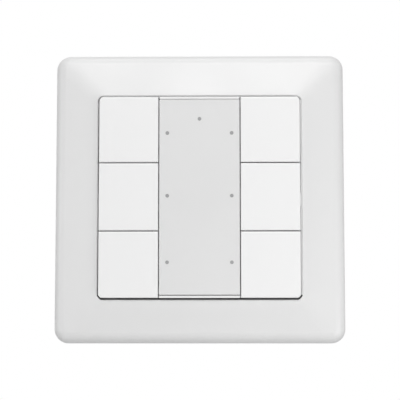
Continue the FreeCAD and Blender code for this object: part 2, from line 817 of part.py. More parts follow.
def make_key_carrier():
    """The tray behind the keys: windows for the switches, posts for the hinge rods and bosses for screws."""
    body = new_body("key_carrier")
    outline = new_sketch(body, "outline", "flange_front")
    add_square(outline, "carrier", "carrier_half")
    pad(body, "slab", outline, "carrier_front - flange_front")
    round_edges(body, "corners", "carrier_corner", corner_of_square(size("carrier_half")))
    hollow = new_sketch(body, "hollow", "flange_front")
    add_square(hollow, "hollow", "carrier_inner")
    cut_front(body, "board_room", hollow, "carrier_back - flange_front")

    bosses = new_sketch(body, "bosses", "shell_front")
    pilots = new_sketch(body, "pilots", "shell_front")
    for i, (across, up) in enumerate(CORNERS):
        place = (signed(across, "screw_place"), signed(up, "screw_place"))
        add_circle(bosses, f"boss_{i}", *place, "screw_boss_radius")
        add_circle(pilots, f"pilot_{i}", *place, "module_screw_radius")
    pad(body, "screw_bosses", bosses, "carrier_back - shell_front")
    cut_front(body, "screw_pilots", pilots, "module_screw_length - shell_wall + module_pilot_room")

    windows = new_sketch(body, "windows", "carrier_front")
    slots = new_sketch(body, "slots", "carrier_front")
    for side, row, across, up in key_places():
        tag = f"{side}_{row}"
        window_half = "switch_size / 2 + window_gap"
        add_square(windows, tag, window_half, signed(across, "switch_across"), signed(up, "row_up"))
        reach = "(lug_radius + window_gap)"
        left = f"{signed(across, 'hinge_across')} - {reach}"
        right = f"{signed(across, 'hinge_across')} + {reach}"
        for end in (-1, 1):
            low = f"{up} * row_up + {end} * (lug_low - post_gap)"
            high = f"{up} * row_up + {end} * post_low"
            add_rectangle(slots, f"{tag}_{end + 1}", left, right, low, high)
    cut_back(body, "switch_windows", windows, "carrier_plate")
    cut_back(body, "lug_slots", slots, "carrier_plate")
    holes = new_sketch(body, "guide_holes", "carrier_front")
    for name, across, up in guide_places():
        add_circle(holes, name, across, up, "guide_stem_radius + guide_gap")
    cut_back(body, "guide_bores", holes, "carrier_plate")

    # Two posts stand beside the lugs of each key, drawn for the right column and mirrored for the left.
    for row, up in ROWS.items():
        for end in ("low", "high"):
            start = "post_low" if end == "high" else "-post_high"
            post = new_sketch(body, f"post_{row}_{end}", f"{up} * row_up + {start}", "XY_Plane")
            add_lug(post, "post", "post_radius", "carrier_back")
            right_post = pad(body, f"right_post_{row}_{end}", post, "post_width")
            mirror(body, f"left_post_{row}_{end}", right_post, "YZ_Plane")
    bores = new_sketch(body, "rod_bores", role="XY_Plane")
    for side, sign in SIDES.items():
        add_circle(bores, side, signed(sign, "hinge_across"), "-hinge_front", "rod_radius + rod_seat_gap")
    cut_both(body, "rod_seats", bores, "2 * (rod_half + running_gap)")
    return body


def make_key_board():
    """The circuit board of the key unit, notched at its corners for the screw bosses."""
    body = new_body("key_board")
    outline = new_sketch(body, "outline", "board_back")
    add_square(outline, "board", "board_half")
    pad(body, "slab", outline, "board_thickness")
    notches = new_sketch(body, "notches", "board_front")
    for i, (across, up) in enumerate(CORNERS):
        near = "board_notch"
        far = "board_half + overcut"
        sides = [signed(across, near), signed(across, far), signed(up, near), signed(up, far)]
        add_rectangle(notches, f"notch_{i}", *sides)
    cut_back(body, "corner_notches", notches, "board_thickness")
    return body


def make_switch(side, row):
    """The body of one push switch on the key board, bored for its plunger."""
    across = signed(SIDES[side], "switch_across")
    up = signed(ROWS[row], "row_up")
    body = new_body(f"switch_{side}_{row}")
    outline = new_sketch(body, "outline", "board_front")
    add_square(outline, "switch", "switch_size / 2", across, up)
    pad(body, "block", outline, "switch_height")
    bore = new_sketch(body, "bore", "switch_front")
    add_circle(bore, "bore", across, up, "plunger_radius + plunger_gap")
    cut_back(body, "plunger_bore", bore, "switch_height - switch_floor")
    return body


def make_plunger(side, row):
    """The button of one push switch, which the boss of its key presses in."""
    shoulder = "(plunger_front + switch_front) / 2"
    steps = [("plunger_back", shoulder, "plunger_radius"), (shoulder, "plunger_front", "plunger_tip_radius")]
    across = signed(SIDES[side], "switch_across")
    return turned(f"plunger_{side}_{row}", across, signed(ROWS[row], "row_up"), steps)


def make_indicator_lamps():
    """Seven small lamps on the key board, one behind each light guide."""
    lamps = []
    for name, across, up in guide_places():
        place = (f"{name}_lamp", across, up)
        lamps.append(block(*place, "lamp_length", "lamp_width", "board_front", "lamp_height"))
    return group("indicator_lamps", lamps)


def make_rear_shell():
    """The back of the key unit: its flange rests on the frame's ledge and its hooks snap into the support."""
    body = new_body("rear_shell")
    wall = new_sketch(body, "wall", "shell_back")
    add_square(wall, "wall", "shell_half")
    pad(body, "back_wall", wall, "shell_wall")
    flange = new_sketch(body, "flange", "flange_back")
    add_square(flange, "flange", "carrier_half")
    pad(body, "flange_plate", flange, "flange_thickness")
    tray = new_sketch(body, "tray", "flange_front")
    add_square(tray, "tray", "carrier_inner")
    cut_back(body, "board_tray", tray, "flange_front - shell_front")

    standoffs = new_sketch(body, "standoffs", "shell_front")
    heads = new_sketch(body, "heads", "shell_back")
    holes = new_sketch(body, "holes", "shell_back")
    legs = new_sketch(body, "legs", "-hook_reach")
    for i, (across, up) in enumerate(CORNERS):
        place = (signed(across, "standoff_across"), signed(up, "standoff_up"))
        add_circle(standoffs, f"standoff_{i}", *place, "standoff_radius")
        screw = (signed(across, "screw_place"), signed(up, "screw_place"))
        add_circle(heads, f"head_{i}", *screw, "module_head_radius + screw_hole_gap")
        add_circle(holes, f"hole_{i}", *screw, "module_screw_radius + screw_hole_gap")
        inner = signed(across, "hook_inner")
        outer = signed(across, "hook_outer")
        low = signed(up, "hook_up - hook_width / 2")
        high = signed(up, "hook_up + hook_width / 2")
        add_rectangle(legs, f"leg_{i}", inner, outer, low, high)
    pad(body, "board_standoffs", standoffs, "board_standoff")
    cut_front(body, "screw_heads", heads, "module_head_height")
    cut_front(body, "screw_holes", holes, "shell_wall")
    pad(body, "hook_legs", legs, "shell_front + hook_reach")
    for up in (-1, 1):
        middle = f"{up} * hook_up - hook_width / 2"
        barb = new_sketch(body, f"barb_{up + 1}", middle, "XY_Plane")
        corners = [
            ("hook_outer - hook_thickness / 2", "barb_gap"),
            ("hook_outer + barb_size", "barb_gap"),
            ("hook_outer", "hook_reach"),
            ("hook_outer - hook_thickness / 2", "hook_reach"),
        ]
        add_outline(barb, "barb", corners)
        right_barb = pad(body, f"right_barb_{up + 1}", barb, "hook_width")
        mirror(body, f"left_barb_{up + 1}", right_barb, "YZ_Plane")

    cuts = new_sketch(body, "cuts", "flange_front")
    add_rectangle(
        cuts,
        "plug",
        "-plug_length / 2 - plug_gap",
        "plug_length / 2 + plug_gap",
        "-plug_width / 2 - plug_gap",
        "plug_width / 2 + plug_gap",
    )
    for side, sign in SIDES.items():
        inner = signed(sign, "head_room_inner")
        outer = signed(sign, "carrier_half + overcut")
        add_rectangle(cuts, side, inner, outer, "-head_room / 2", "head_room / 2")
    cut_back(body, "plug_and_screw_room", cuts, "flange_front - shell_back")
    return body


def make_module_screws():
    """Four screws that hold the rear shell to the key carrier, with their heads at the back."""
    neck = "shell_back + module_head_height"
    steps = [
        ("shell_back", neck, "module_head_radius"),
        (neck, "shell_back + module_screw_length", "module_screw_radius"),
    ]
    screws = []
    for i, (across, up) in enumerate(CORNERS):
        place = (signed(across, "screw_place"), signed(up, "screw_place"))
        screws.append(turned(f"module_screw_{i}", *place, steps))
    return group("module_screws", screws)


def make_label_carrier():
    """The middle panel's tray, with a thin lip at the top and bottom of the label."""
    body = new_body("label_carrier")
    outline = new_sketch(body, "outline", "carrier_front")
    add_rectangle(outline, "panel", "-panel_half", "panel_half", "-field_half", "field_half")
    pad(body, "slab", outline, "panel_front - carrier_front")
    pocket = new_sketch(body, "pocket", "panel_front")
    sides = ["-panel_half - overcut", "panel_half + overcut"]
    add_rectangle(pocket, "pocket", *sides, "-label_pocket_half", "label_pocket_half")
    cut_back(body, "label_pocket", pocket, "panel_front - label_back")
    hollow = new_sketch(body, "hollow", "carrier_front")
    half_across = "panel_half - panel_wall"
    half_up = "field_half - panel_wall"
    add_rectangle(hollow, "hollow", f"-({half_across})", half_across, f"-({half_up})", half_up)
    cut_front(body, "guide_room", hollow, "panel_floor_back - carrier_front")
    add_guide_holes(body, "label_back", "panel_floor", "guide_radius + guide_hole_gap")
    return body


def add_guide_holes(body, front, depth, radius):
    """Seven holes for the light guides, cut towards the wall."""
    holes = new_sketch(body, "guide_holes", front)
    for name, across, up in guide_places():
        add_circle(holes, name, across, up, radius)
    return cut_back(body, "guide_bores", holes, depth)


def make_panel_layer(name, back, thickness, hole_radius):
    """The label sheet or the clear cover over it: a thin plate with seven holes."""
    body = new_body(name)
    outline = new_sketch(body, "outline", back)
    add_rectangle(outline, "layer", "-panel_half", "panel_half", "-label_half", "label_half")
    pad(body, "slab", outline, thickness)
    add_guide_holes(body, f"{back} + {thickness}", thickness, hole_radius)
    return body


def make_light_guide(name, across, up):
    """A clear rod from a lamp to the panel's front, with a collar that sits on the key carrier."""
    steps = [
        ("guide_back", "carrier_front", "guide_stem_radius"),
        ("carrier_front", "guide_collar_front", "guide_collar_radius"),
        ("guide_collar_front", "guide_front", "guide_radius"),
    ]
    return turned(name, across, up, steps)


def make_support_plate():
    """The steel plate on the wall, with two slots for the wall-box screws and windows for the snap hooks."""
    body = new_body("support_plate")
    outline = new_sketch(body, "outline")
    add_square(outline, "support", "support_half")
    pad(body, "sheet", outline, "support_thickness")
    round_edges(body, "corners", "support_corner", corner_of_square(size("support_half")))
    middle = new_sketch(body, "middle", "support_thickness")
    add_square(middle, "middle", "housing_half + housing_gap")
    cut_back(body, "middle_opening", middle, "support_thickness")
    middle_half = size("housing_half") + size("housing_gap")
    round_edges(body, "middle_corners", "housing_corner + housing_gap", corner_of_square(middle_half))

    slots = new_sketch(body, "slots", "support_thickness")
    add_slot(slots, "right", (1, "slot_end_inner"), (1, "slot_end_outer"), "slot_radius")
    add_slot(slots, "left", (-1, "slot_end_outer"), (-1, "slot_end_inner"), "slot_radius")
    cut_back(body, "fixing_slots", slots, "support_thickness")

    windows = new_sketch(body, "windows", "support_thickness")
    for i, (across, up) in enumerate(CORNERS):
        inner = signed(across, "hook_inner - hook_gap")
        outer = signed(across, "hook_outer + hook_gap")
        low = signed(up, "hook_up - hook_width / 2 - hook_gap")
        high = signed(up, "hook_up + hook_width / 2 + hook_gap")
        add_rectangle(windows, f"window_{i}", inner, outer, low, high)
        screw = (signed(across, "flange_screw_place"), signed(up, "flange_screw_place"))
        add_circle(windows, f"screw_{i}", *screw, "flange_screw_radius")
    cut_back(body, "windows_and_screw_holes", windows, "support_thickness")
    return body


def make_coupler_housing():
    """The cup in the wall box, with a flange over the support plate and a recess for the terminal behind."""
    body = new_body("coupler_housing")
    outline = new_sketch(body, "outline", "-housing_depth")
    add_square(outline, "cup", "housing_half")
    pad(body, "cup", outline, "housing_depth + coupler_front")
    round_edges(body, "corners", "housing_corner", corner_of_square(size("housing_half")))
    round_edges(body, "back_edges", "housing_edge_round", lies_at_front(-size("housing_depth")))
    flange = new_sketch(body, "flange", "support_thickness")
    add_square(flange, "flange", "coupler_flange_half")
    pad(body, "flange_plate", flange, "coupler_flange_thickness")
    flange_half = size("coupler_flange_half")
    round_edges(body, "flange_corners", "coupler_flange_corner", corner_of_square(flange_half))
    inside = new_sketch(body, "inside", "coupler_front")
    add_rounded_square(inside, "inside", "housing_inner", "housing_inner_corner")
    cut_back(body, "hollow", inside, "coupler_front + housing_depth - housing_wall")

    tower = new_sketch(body, "tower", "-housing_depth")
    wall = "recess_wall"
    sides = [f"-recess_half - {wall}", f"recess_half + {wall}"]
    levels = [f"terminal_up - recess_half_up - {wall}", f"terminal_up + recess_half_up + {wall}"]
    add_rectangle(tower, "tower", *sides, *levels)
    pad(body, "recess_walls", tower, f"recess_depth + {wall}")
    recess = new_sketch(body, "recess", "-housing_depth")
    levels = ["terminal_up - recess_half_up", "terminal_up + recess_half_up"]
    add_rectangle(recess, "recess", "-recess_half", "recess_half", *levels)
    cut_front(body, "terminal_recess", recess, "recess_depth")
    pins = new_sketch(body, "pins", "recess_front")
    for side, sign in SIDES.items():
        add_circle(pins, side, signed(sign, "terminal_pin_across"), "terminal_up", "terminal_pin_radius")
    cut_front(body, "pin_holes", pins, "recess_wall")

    pillars = new_sketch(body, "pillars", "housing_wall - housing_depth")
    bores = new_sketch(body, "bores", "coupler_board_back")
    heads = new_sketch(body, "heads", "coupler_front")
    holes = new_sketch(body, "holes", "coupler_front")
    for i, (across, up) in enumerate(CORNERS):
        pillar = (signed(across, "pillar_place"), signed(up, "pillar_place"))
        add_circle(pillars, f"pillar_{i}", *pillar, "pillar_radius")
        add_circle(bores, f"bore_{i}", *pillar, "lid_screw_radius")
        screw = (signed(across, "flange_screw_place"), signed(up, "flange_screw_place"))
        add_circle(heads, f"head_{i}", *screw, "flange_head_radius + screw_hole_gap")
        add_circle(holes, f"hole_{i}", *screw, "flange_screw_radius + screw_hole_gap")
    pad(body, "board_pillars", pillars, "coupler_board_back + housing_depth - housing_wall")
    cut_back(body, "pillar_bores", bores, "coupler_board_back - lid_screw_back + screw_hole_gap")
    cut_back(body, "flange_heads", heads, "flange_head_height")
    cut_back(body, "flange_holes", holes, "coupler_flange_thickness")
    return body


def make_coupler_lid():
    """The lid of the cup, with four legs on the board and openings for plug, button and lamp."""
    body = new_body("coupler_lid")
    outline = new_sketch(body, "outline", "lid_back")
    add_square(outline, "lid", "lid_half")
    pad(body, "plate", outline, "lid_thickness")
    round_edges(body, "corners", "housing_inner_corner - lid_gap", corner_of_square(size("lid_half")))
    legs = new_sketch(body, "legs", "coupler_board_front")
    heads = new_sketch(body, "heads", "coupler_front")
    holes = new_sketch(body, "holes", "coupler_front")
    for i, (across, up) in enumerate(CORNERS):
        place = (signed(across, "pillar_place"), signed(up, "pillar_place"))
        add_circle(legs, f"leg_{i}", *place, "lid_leg_radius")
        add_circle(heads, f"head_{i}", *place, "lid_head_radius + screw_hole_gap")
        add_circle(holes, f"hole_{i}", *place, "lid_screw_radius + screw_hole_gap")
    pad(body, "board_legs", legs, "lid_leg")
    cut_back(body, "screw_heads", heads, "lid_head_height")
    cut_back(body, "screw_holes", holes, "lid_thickness + lid_leg")
    openings = new_sketch(body, "openings", "coupler_front")
    add_rectangle(
        openings,
        "plug",
        "-plug_length / 2 - plug_gap",
        "plug_length / 2 + plug_gap",
        "-plug_width / 2 - plug_gap",
        "plug_width / 2 + plug_gap",
    )
    button_radius = "programming_radius + programming_gap"
    lamp_radius = "programming_lamp_radius + screw_hole_gap"
    add_circle(openings, "button", "programming_across", "programming_up", button_radius)
    add_circle(openings, "lamp", "programming_across", "programming_lamp_up", lamp_radius)
    cut_back(body, "plug_button_and_lamp", openings, "lid_thickness")
    return body


def make_corner_screws(name, place, head_front, head_height, head_radius, back, radius):
    """Four screws at the corners of a square, driven from the front."""
    neck = f"{head_front} - {head_height}"
    steps = [(back, neck, radius), (neck, head_front, head_radius)]
    screws = []
    for i, (across, up) in enumerate(CORNERS):
        screws.append(turned(f"{name}_{i}", signed(across, place), signed(up, place), steps))
    return group(name, screws)


def make_coupler_board():
    """The circuit board of the unit in the wall box."""
    body = new_body("coupler_board")
    outline = new_sketch(body, "outline", "coupler_board_back")
    add_square(outline, "board", "coupler_board_half")
    pad(body, "slab", outline, "coupler_board_thickness")
    board_half = size("coupler_board_half")
    corner_radius = "housing_inner_corner - coupler_board_gap"
    round_edges(body, "corners", corner_radius, corner_of_square(board_half))
    holes = new_sketch(body, "holes", "coupler_board_front")
    for i, (across, up) in enumerate(CORNERS):
        place = (signed(across, "pillar_place"), signed(up, "pillar_place"))
        add_circle(holes, f"hole_{i}", *place, "lid_screw_radius + screw_hole_gap")
    cut_back(body, "screw_holes", holes, "coupler_board_thickness")
    return body


def pin_places():
    """Across and up of the ten pins of the plug, in two rows of five."""
    return [(f"{i} * plug_pitch", f"{j} * plug_pitch / 2") for i in range(-2, 3) for j in (-1, 1)]


def make_plug_block(name, back, height, bore_half, bore_from_back):
    """The socket or the header of the plug: a block with ten square bores."""
    body = new_body(name)
    outline = new_sketch(body, "outline", back)
    sides = ["-plug_length / 2", "plug_length / 2", "-plug_width / 2", "plug_width / 2"]
    add_rectangle(outline, "block", *sides)
    pad(body, "block", outline, height)
    bores = new_sketch(body, "bores", back)
    for i, (across, up) in enumerate(pin_places()):
        add_square(bores, f"bore_{i}", bore_half, across, up)
    cut_front(body, "pin_bores", bores, bore_from_back)
    return body


def make_link_pins():
    """Ten square pins that stand in the header and reach into the socket."""
    pins = []
    for i, (across, up) in enumerate(pin_places()):
        depth = "header_height + pin_reach"
        pins.append(block(f"link_pin_{i}", across, up, "pin_size", "pin_size", "coupler_board_front", depth))
    return group("link_pins", pins)


def make_choke():
    """The drum-shaped choke on the back of the board."""
    back = "coupler_board_back - choke_height"
    steps = [
        (back, f"{back} + choke_rim", "choke_radius"),
        (f"{back} + choke_rim", "coupler_board_back - choke_rim", "choke_waist"),
        ("coupler_board_back - choke_rim", "coupler_board_back", "choke_radius"),
    ]
    return turned("choke", "choke_across", "choke_up", steps)


def make_capacitors():
    """Two round capacitors side by side on the back of the board."""
    steps = [("coupler_board_back - capacitor_height", "coupler_board_back", "capacitor_radius")]
    places = ["capacitor_across", "capacitor_across + capacitor_spacing"]
    cans = [turned(f"capacitor_{i}", across, "capacitor_up", steps) for i, across in enumerate(places)]
    return group("capacitors", cans)


def make_programming_switch():
    """The push switch under the programming button."""
    body = new_body("programming_switch")
    place = ("programming_across", "programming_up")
    outline = new_sketch(body, "outline", "coupler_board_front")
    add_square(outline, "switch", "programming_switch_size / 2", *place)
    pad(body, "block", outline, "programming_switch_height")
    bore = new_sketch(body, "bore", "programming_switch_front")
    add_circle(bore, "bore", *place, "programming_stem_radius + programming_gap")
    cut_back(body, "stem_bore", bore, "programming_switch_height - programming_switch_floor")
    return body


def make_programming_button():
    """The small button in the lid, with the stem that presses its switch."""
    steps = [
        ("programming_stem_back", "programming_cap_back", "programming_stem_radius"),
        ("programming_cap_back", "programming_front", "programming_radius"),
    ]
    return turned("programming_button", "programming_across", "programming_up", steps)


def make_terminal_pins():
    """Two round pins from the board's back into the terminal."""
    steps = [("terminal_pin_back", "coupler_board_back", "terminal_pin_radius")]
    pins = []
    for side, sign in SIDES.items():
        across = signed(sign, "terminal_pin_across")
        pins.append(turned(f"terminal_pin_{side}", across, "terminal_up", steps))
    return group("terminal_pins", pins)


def make_terminal_half(side):
    """One half of the plug-on terminal, with a bore for its pin and four holes for wires."""
    sign = SIDES[side]
    body = new_body(f"terminal_half_{side}")
    outline = new_sketch(body, "outline", "terminal_back")
    levels = ["terminal_up - terminal_tall / 2", "terminal_up + terminal_tall / 2"]
    sides = [signed(sign, "terminal_inner"), signed(sign, "terminal_outer")]
    add_rectangle(outline, "half", *sides, *levels)
    pad(body, "block", outline, "terminal_depth")
    middle = signed(sign, "terminal_pin_across")
    bore = new_sketch(body, "bore", "terminal_front")
    add_circle(bore, "bore", middle, "terminal_up", "terminal_pin_radius + terminal_bore_gap")
    cut_back(body, "pin_bore", bore, "terminal_front - terminal_bore_back")
    wires = new_sketch(body, "wires", "terminal_back")
    for i, (across, up) in enumerate(CORNERS):
        place = (f"{middle} + {across} * wire_hole_across", f"terminal_up + {up} * wire_hole_up")
        add_circle(wires, f"wire_{i}", *place, "wire_hole_radius")
    cut_front(body, "wire_holes", wires, "wire_hole_depth")
    return body


def make_all():
    """Every piece of the object, one object per file."""
    pieces = [make_outer_frame(), make_key_carrier(), make_key_board(), make_rear_shell()]
    for side in SIDES:
        pieces.append(make_hinge_rod(side))
        for row in ROWS:
            pieces.append(make_key(side, row))
            pieces.append(make_switch(side, row))
            pieces.append(make_plunger(side, row))
    pieces.append(make_indicator_lamps())
    board_chip = ("control_chip", "0", "chip_up", "chip_size", "chip_size", "board_front", "chip_height")
    pieces.append(block(*board_chip))
    pieces.append(make_module_screws())
    pieces.append(make_label_carrier())
    hole = "guide_radius + guide_hole_gap"
    pieces.append(make_panel_layer("label_sheet", "label_back", "label_thickness", hole))
    cover = ("label_cover", "cover_back", "cover_thickness", "guide_radius + guide_gap")
    pieces.append(make_panel_layer(*cover))
    for name, across, up in guide_places():
        pieces.append(make_light_guide(name, across, up))
    pieces.append(make_support_plate())
    pieces.append(make_coupler_housing())
    pieces.append(make_coupler_lid())
    lid_head = ("coupler_front", "lid_head_height", "lid_head_radius")
    lid_screw = ("lid_screw_back", "lid_screw_radius")
    pieces.append(make_corner_screws("lid_screws", "pillar_place", *lid_head, *lid_screw))
    flange_head = ("coupler_front", "flange_head_height", "flange_head_radius")
    flange_screw = ("flange_screw_tip", "flange_screw_radius")
    pieces.append(make_corner_screws("flange_screws", "flange_screw_place", *flange_head, *flange_screw))
    pieces.append(make_coupler_board())
    socket_bore = "pin_size / 2 + pin_gap"
    pieces.append(make_plug_block("link_socket", "socket_back", "socket_height", socket_bore, "socket_bore"))
    header = ("link_header", "coupler_board_front", "header_height", "pin_size / 2", "header_height")
    pieces.append(make_plug_block(*header))
    pieces.append(make_link_pins())
    pieces.append(make_choke())
    pieces.append(make_capacitors())
    chip_size = ("transceiver_size", "transceiver_size")
    chip_back = "coupler_board_back - transceiver_height"
    chip_place = ("transceiver_chip", "transceiver_across", "transceiver_up")
    pieces.append(block(*chip_place, *chip_size, chip_back, "transceiver_height"))
    can_size = ("crystal_width", "crystal_tall")
    can_back = "coupler_board_back - crystal_height"
    pieces.append(block("crystal", "crystal_across", "crystal_up", *can_size, can_back, "crystal_height"))
    pieces.append(make_programming_switch())
    pieces.append(make_programming_button())
    lamp = [("coupler_board_front", "programming_lamp_front", "programming_lamp_radius")]
    pieces.append(turned("programming_lamp", "programming_across", "programming_lamp_up", lamp))
    pieces.append(make_terminal_pins())
    for side in SIDES:
        pieces.append(make_terminal_half(side))
    return pieces


def check_and_export(pieces):
    """Stop on any failed object or empty cut, then write one file per piece."""
    failed = [thing.Name for thing in doc.Objects if {"Invalid", "Error"} & set(thing.State)]
    if failed:
        raise RuntimeError(f"failed objects: {failed}")
    for thing in doc.Objects:
        if thing.TypeId in ("PartDesign::Pocket", "PartDesign::Groove"):
            removed = thing.BaseFeature.Shape.Volume - thing.Shape.Volume
            if removed < 1e-4:
                raise RuntimeError(f"{thing.Name} cuts nothing")
    os.makedirs("parts", exist_ok=True)
    for piece in pieces:
        shape = piece.Shape
        if shape.isNull() or not shape.isValid() or not shape.Solids:
            raise RuntimeError(f"{piece.Label} has no valid solid")
        shape.exportStep(f"parts/{piece.Label}.step")


make_sheet("Sizes", {name: str(value) for name, value in SIZES.items()})
doc.recompute()
make_sheet("Places", {name: f"={formula(text)}" for name, text in PLACES.items()})
doc.recompute()
all_pieces = make_all()
doc.recompute()
check_and_export(all_pieces)
arm = size("switch_arm") / 1000
press = arm * math.radians(HINGE_LIMIT_DEG)
print(f"{len(all_pieces)} pieces, plunger travel {press * 1000:.4f} mm at {HINGE_LIMIT_DEG} degrees")
print(f"hinge at across {size('hinge_across'):.3f}, front {size('hinge_front'):.3f}")
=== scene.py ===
import json
import math

import bmesh
import bpy
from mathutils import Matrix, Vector


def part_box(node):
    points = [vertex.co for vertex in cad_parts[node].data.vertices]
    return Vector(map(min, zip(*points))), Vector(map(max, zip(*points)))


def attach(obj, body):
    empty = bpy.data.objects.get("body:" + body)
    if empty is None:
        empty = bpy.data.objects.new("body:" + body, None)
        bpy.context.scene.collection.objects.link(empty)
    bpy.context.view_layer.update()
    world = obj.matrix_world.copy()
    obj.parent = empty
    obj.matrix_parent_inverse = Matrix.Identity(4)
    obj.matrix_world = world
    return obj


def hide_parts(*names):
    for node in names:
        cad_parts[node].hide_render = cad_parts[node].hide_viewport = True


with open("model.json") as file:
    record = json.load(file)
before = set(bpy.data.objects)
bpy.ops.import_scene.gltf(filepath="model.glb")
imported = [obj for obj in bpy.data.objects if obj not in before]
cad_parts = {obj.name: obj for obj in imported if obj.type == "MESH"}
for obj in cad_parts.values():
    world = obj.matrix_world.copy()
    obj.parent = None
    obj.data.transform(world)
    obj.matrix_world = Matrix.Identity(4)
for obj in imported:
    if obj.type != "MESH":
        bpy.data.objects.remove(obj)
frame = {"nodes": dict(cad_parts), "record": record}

bl_info = {
    "name": "Lighting Push Button",
    "version": (1, 0, 0),
    "blender": (4, 5, 0),
    "location": "View3D > Sidebar > Push Button",
    "description": "Finishes and fine pieces of a flush wall push button with six keys",
    "category": "Object",
}

# The front of the push button faces -Y, +Z is up, +X is right, and the wall is the plane y = 0.
# Every length is in metres.

NODES = frame["nodes"]
SLOT_COLOURS = {entry["slot"]: entry["base_color"] for entry in frame["record"]["materials"]}
KEYS = [f"key_{side}_{row}" for side in ("left", "right") for row in ("top", "middle", "bottom")]
SWITCHES = [key.replace("key", "switch") for key in KEYS]
PLUNGERS = [key.replace("key", "plunger") for key in KEYS]
GUIDES = [key.replace("key", "light_guide") for key in KEYS] + ["status_light_guide"]
UNIT = "wall_unit"
CORNERS = [(-1, -1), (1, -1), (1, 1), (-1, 1)]
SHARP_ANGLE = math.radians(35)

# The screws: which way their heads look (1 to the wall, -1 to the room), the heads' height and radius, and
# the screws' own radius.
SCREWS = {
    "module_screws": (1, 0.0006, 0.0015, 0.00075),
    "lid_screws": (-1, 0.0006, 0.0014, 0.0007),
    "flange_screws": (-1, 0.0006, 0.0015, 0.0009),
}

# Where each lamp stands, and how wide it is. Its power is the stage setting of its name.
LAMPS = {
    "front": ((0.0, -0.983, 0.6883), 0.5),
    "top": ((0.0, -0.167, 1.1883), 0.5),
    "right": ((0.9419, -0.5438, 0.5071), 0.5),
    "left": ((-1.1413, -0.3708, 0.0), 0.5),
    "near": ((0.2, -0.15, -0.105), 0.1),
}


def slot_colour(slot):
    """The record's colour of a material slot."""
    return tuple(SLOT_COLOURS[slot][:3])


def colour_property(name, description, default):
    return bpy.props.FloatVectorProperty(
        name=name, description=description, default=default, subtype="COLOR", size=3, min=0, max=1
    )


def length_property(name, description, default):
    return bpy.props.FloatProperty(
        name=name, description=description, default=default, unit="LENGTH", subtype="DISTANCE", min=0,
        precision=5,
    )


def angle_property(name, description, degrees):
    return bpy.props.FloatProperty(
        name=name, description=description, default=math.radians(degrees), subtype="ANGLE"
    )


def power_property(name, description, default):
    return bpy.props.FloatProperty(name=name, description=description, default=default, min=0, unit="POWER")


class FinishSettings(bpy.types.PropertyGroup):
    """Colours and finishes of the pieces."""

    frame_white: colour_property("Frame white", "Colour of the outer frame", (0.755, 0.755, 0.755))
    key_white: colour_property("Key white", "Colour of the six keys", (0.855, 0.855, 0.855))
    panel_white: colour_property("Panel white", "Colour of the label carrier", slot_colour("panel_white"))
    label_grey: colour_property("Label grey", "Colour of the label sheet", (0.8, 0.8, 0.8))
    inner_grey: colour_property("Inner grey", "Colour of the key carrier", (0.6, 0.605, 0.61))
    inner_white: colour_property("Inner white", "Colour of the rear shell", slot_colour("inner_white"))
    housing_grey: colour_property("Housing grey", "Colour of the housing", slot_colour("housing_grey"))
    board_green: colour_property("Board green", "Colour of the solder mask", slot_colour("board_green"))
    terminal_red: colour_property("Terminal red", "Colour of the red half", slot_colour("terminal_red"))
    terminal_dark: colour_property("Terminal dark", "Colour of the dark half", slot_colour("terminal_dark"))
    copper: colour_property("Copper", "Colour of the choke's wire", (0.62, 0.24, 0.09))
    grain_depth: length_property("Grain depth", "Depth of the moulded grain", 0.000004)
    cover_haze: bpy.props.FloatProperty(
        name="Cover haze", description="How much of its own pale tone the clear cover shows",
        default=0.8, subtype="FACTOR", min=0, max=1,
    )


class DetailSettings(bpy.types.PropertyGroup):
    """Sizes of the fine pieces."""

    edge_round: length_property("Edge round", "Round on the edges of the chips' bodies", 0.00006)
    recess_reach: length_property("Recess reach", "Reach of a screw's cross recess", 0.00085)
    recess_arm: length_property("Recess arm", "Width of one arm of the cross recess", 0.00036)
    recess_depth: length_property("Recess depth", "Depth of the cross recess", 0.00045)
    thread_pitch: length_property("Thread pitch", "Pitch of the screw threads", 0.0006)
    thread_depth: length_property("Thread depth", "Depth of the screw threads", 0.00012)
    wire_thickness: length_property("Wire thickness", "Thickness of the choke's wire", 0.00042)
    leg_width: length_property("Leg width", "Width of one chip leg", 0.0003)
    leg_thickness: length_property("Leg thickness", "Thickness of one chip leg", 0.00015)
    rib_reach: length_property("Rib reach", "From the middle to the outside of the dust rib", 0.03022)
    rib_width: length_property("Rib width", "Width of the dust rib at the top and on the right", 0.00032)
    rib_slimmer: length_property("Rib slimmer", "How much slimmer the dust rib is on the left", 0.0002)
    rib_corner: length_property("Rib corner", "Round on the outside of the rib's corners", 0.0013)
    rib_end: length_property("Rib end", "From the middle down to the rib's lower ends", 0.0288)
    rib_sink: length_property("Rib sink", "From the frame's front back to the rib", 0.00045)
    rib_depth: length_property("Rib depth", "Depth of the dust rib", 0.0008)
    film_across: length_property("Film place", "From the middle to the middle of a reflector film", 0.012)
    film_width: length_property("Film width", "Width of a reflector film", 0.0021)
    film_length: length_property("Film length", "Length of a reflector film", 0.056)
    film_thickness: length_property("Film thickness", "Thickness of a reflector film", 0.0001)
    cover_lift: length_property("Cover lift", "Air between the clear cover and the label sheet", 0.00004)
    cover_seam: length_property("Cover seam", "Seam between the clear cover and the lower lip", 0.00028)
    cover_hole: length_property("Cover hole", "Radius of the cover's holes for the light guides", 0.00055)
    cover_corner: length_property("Cover corner", "Round on the corners of the clear cover", 0.0002)
    chip_legs: bpy.props.IntProperty(
        name="Chip legs", description="Legs on each side of the control chip", default=12, min=2, max=24
    )


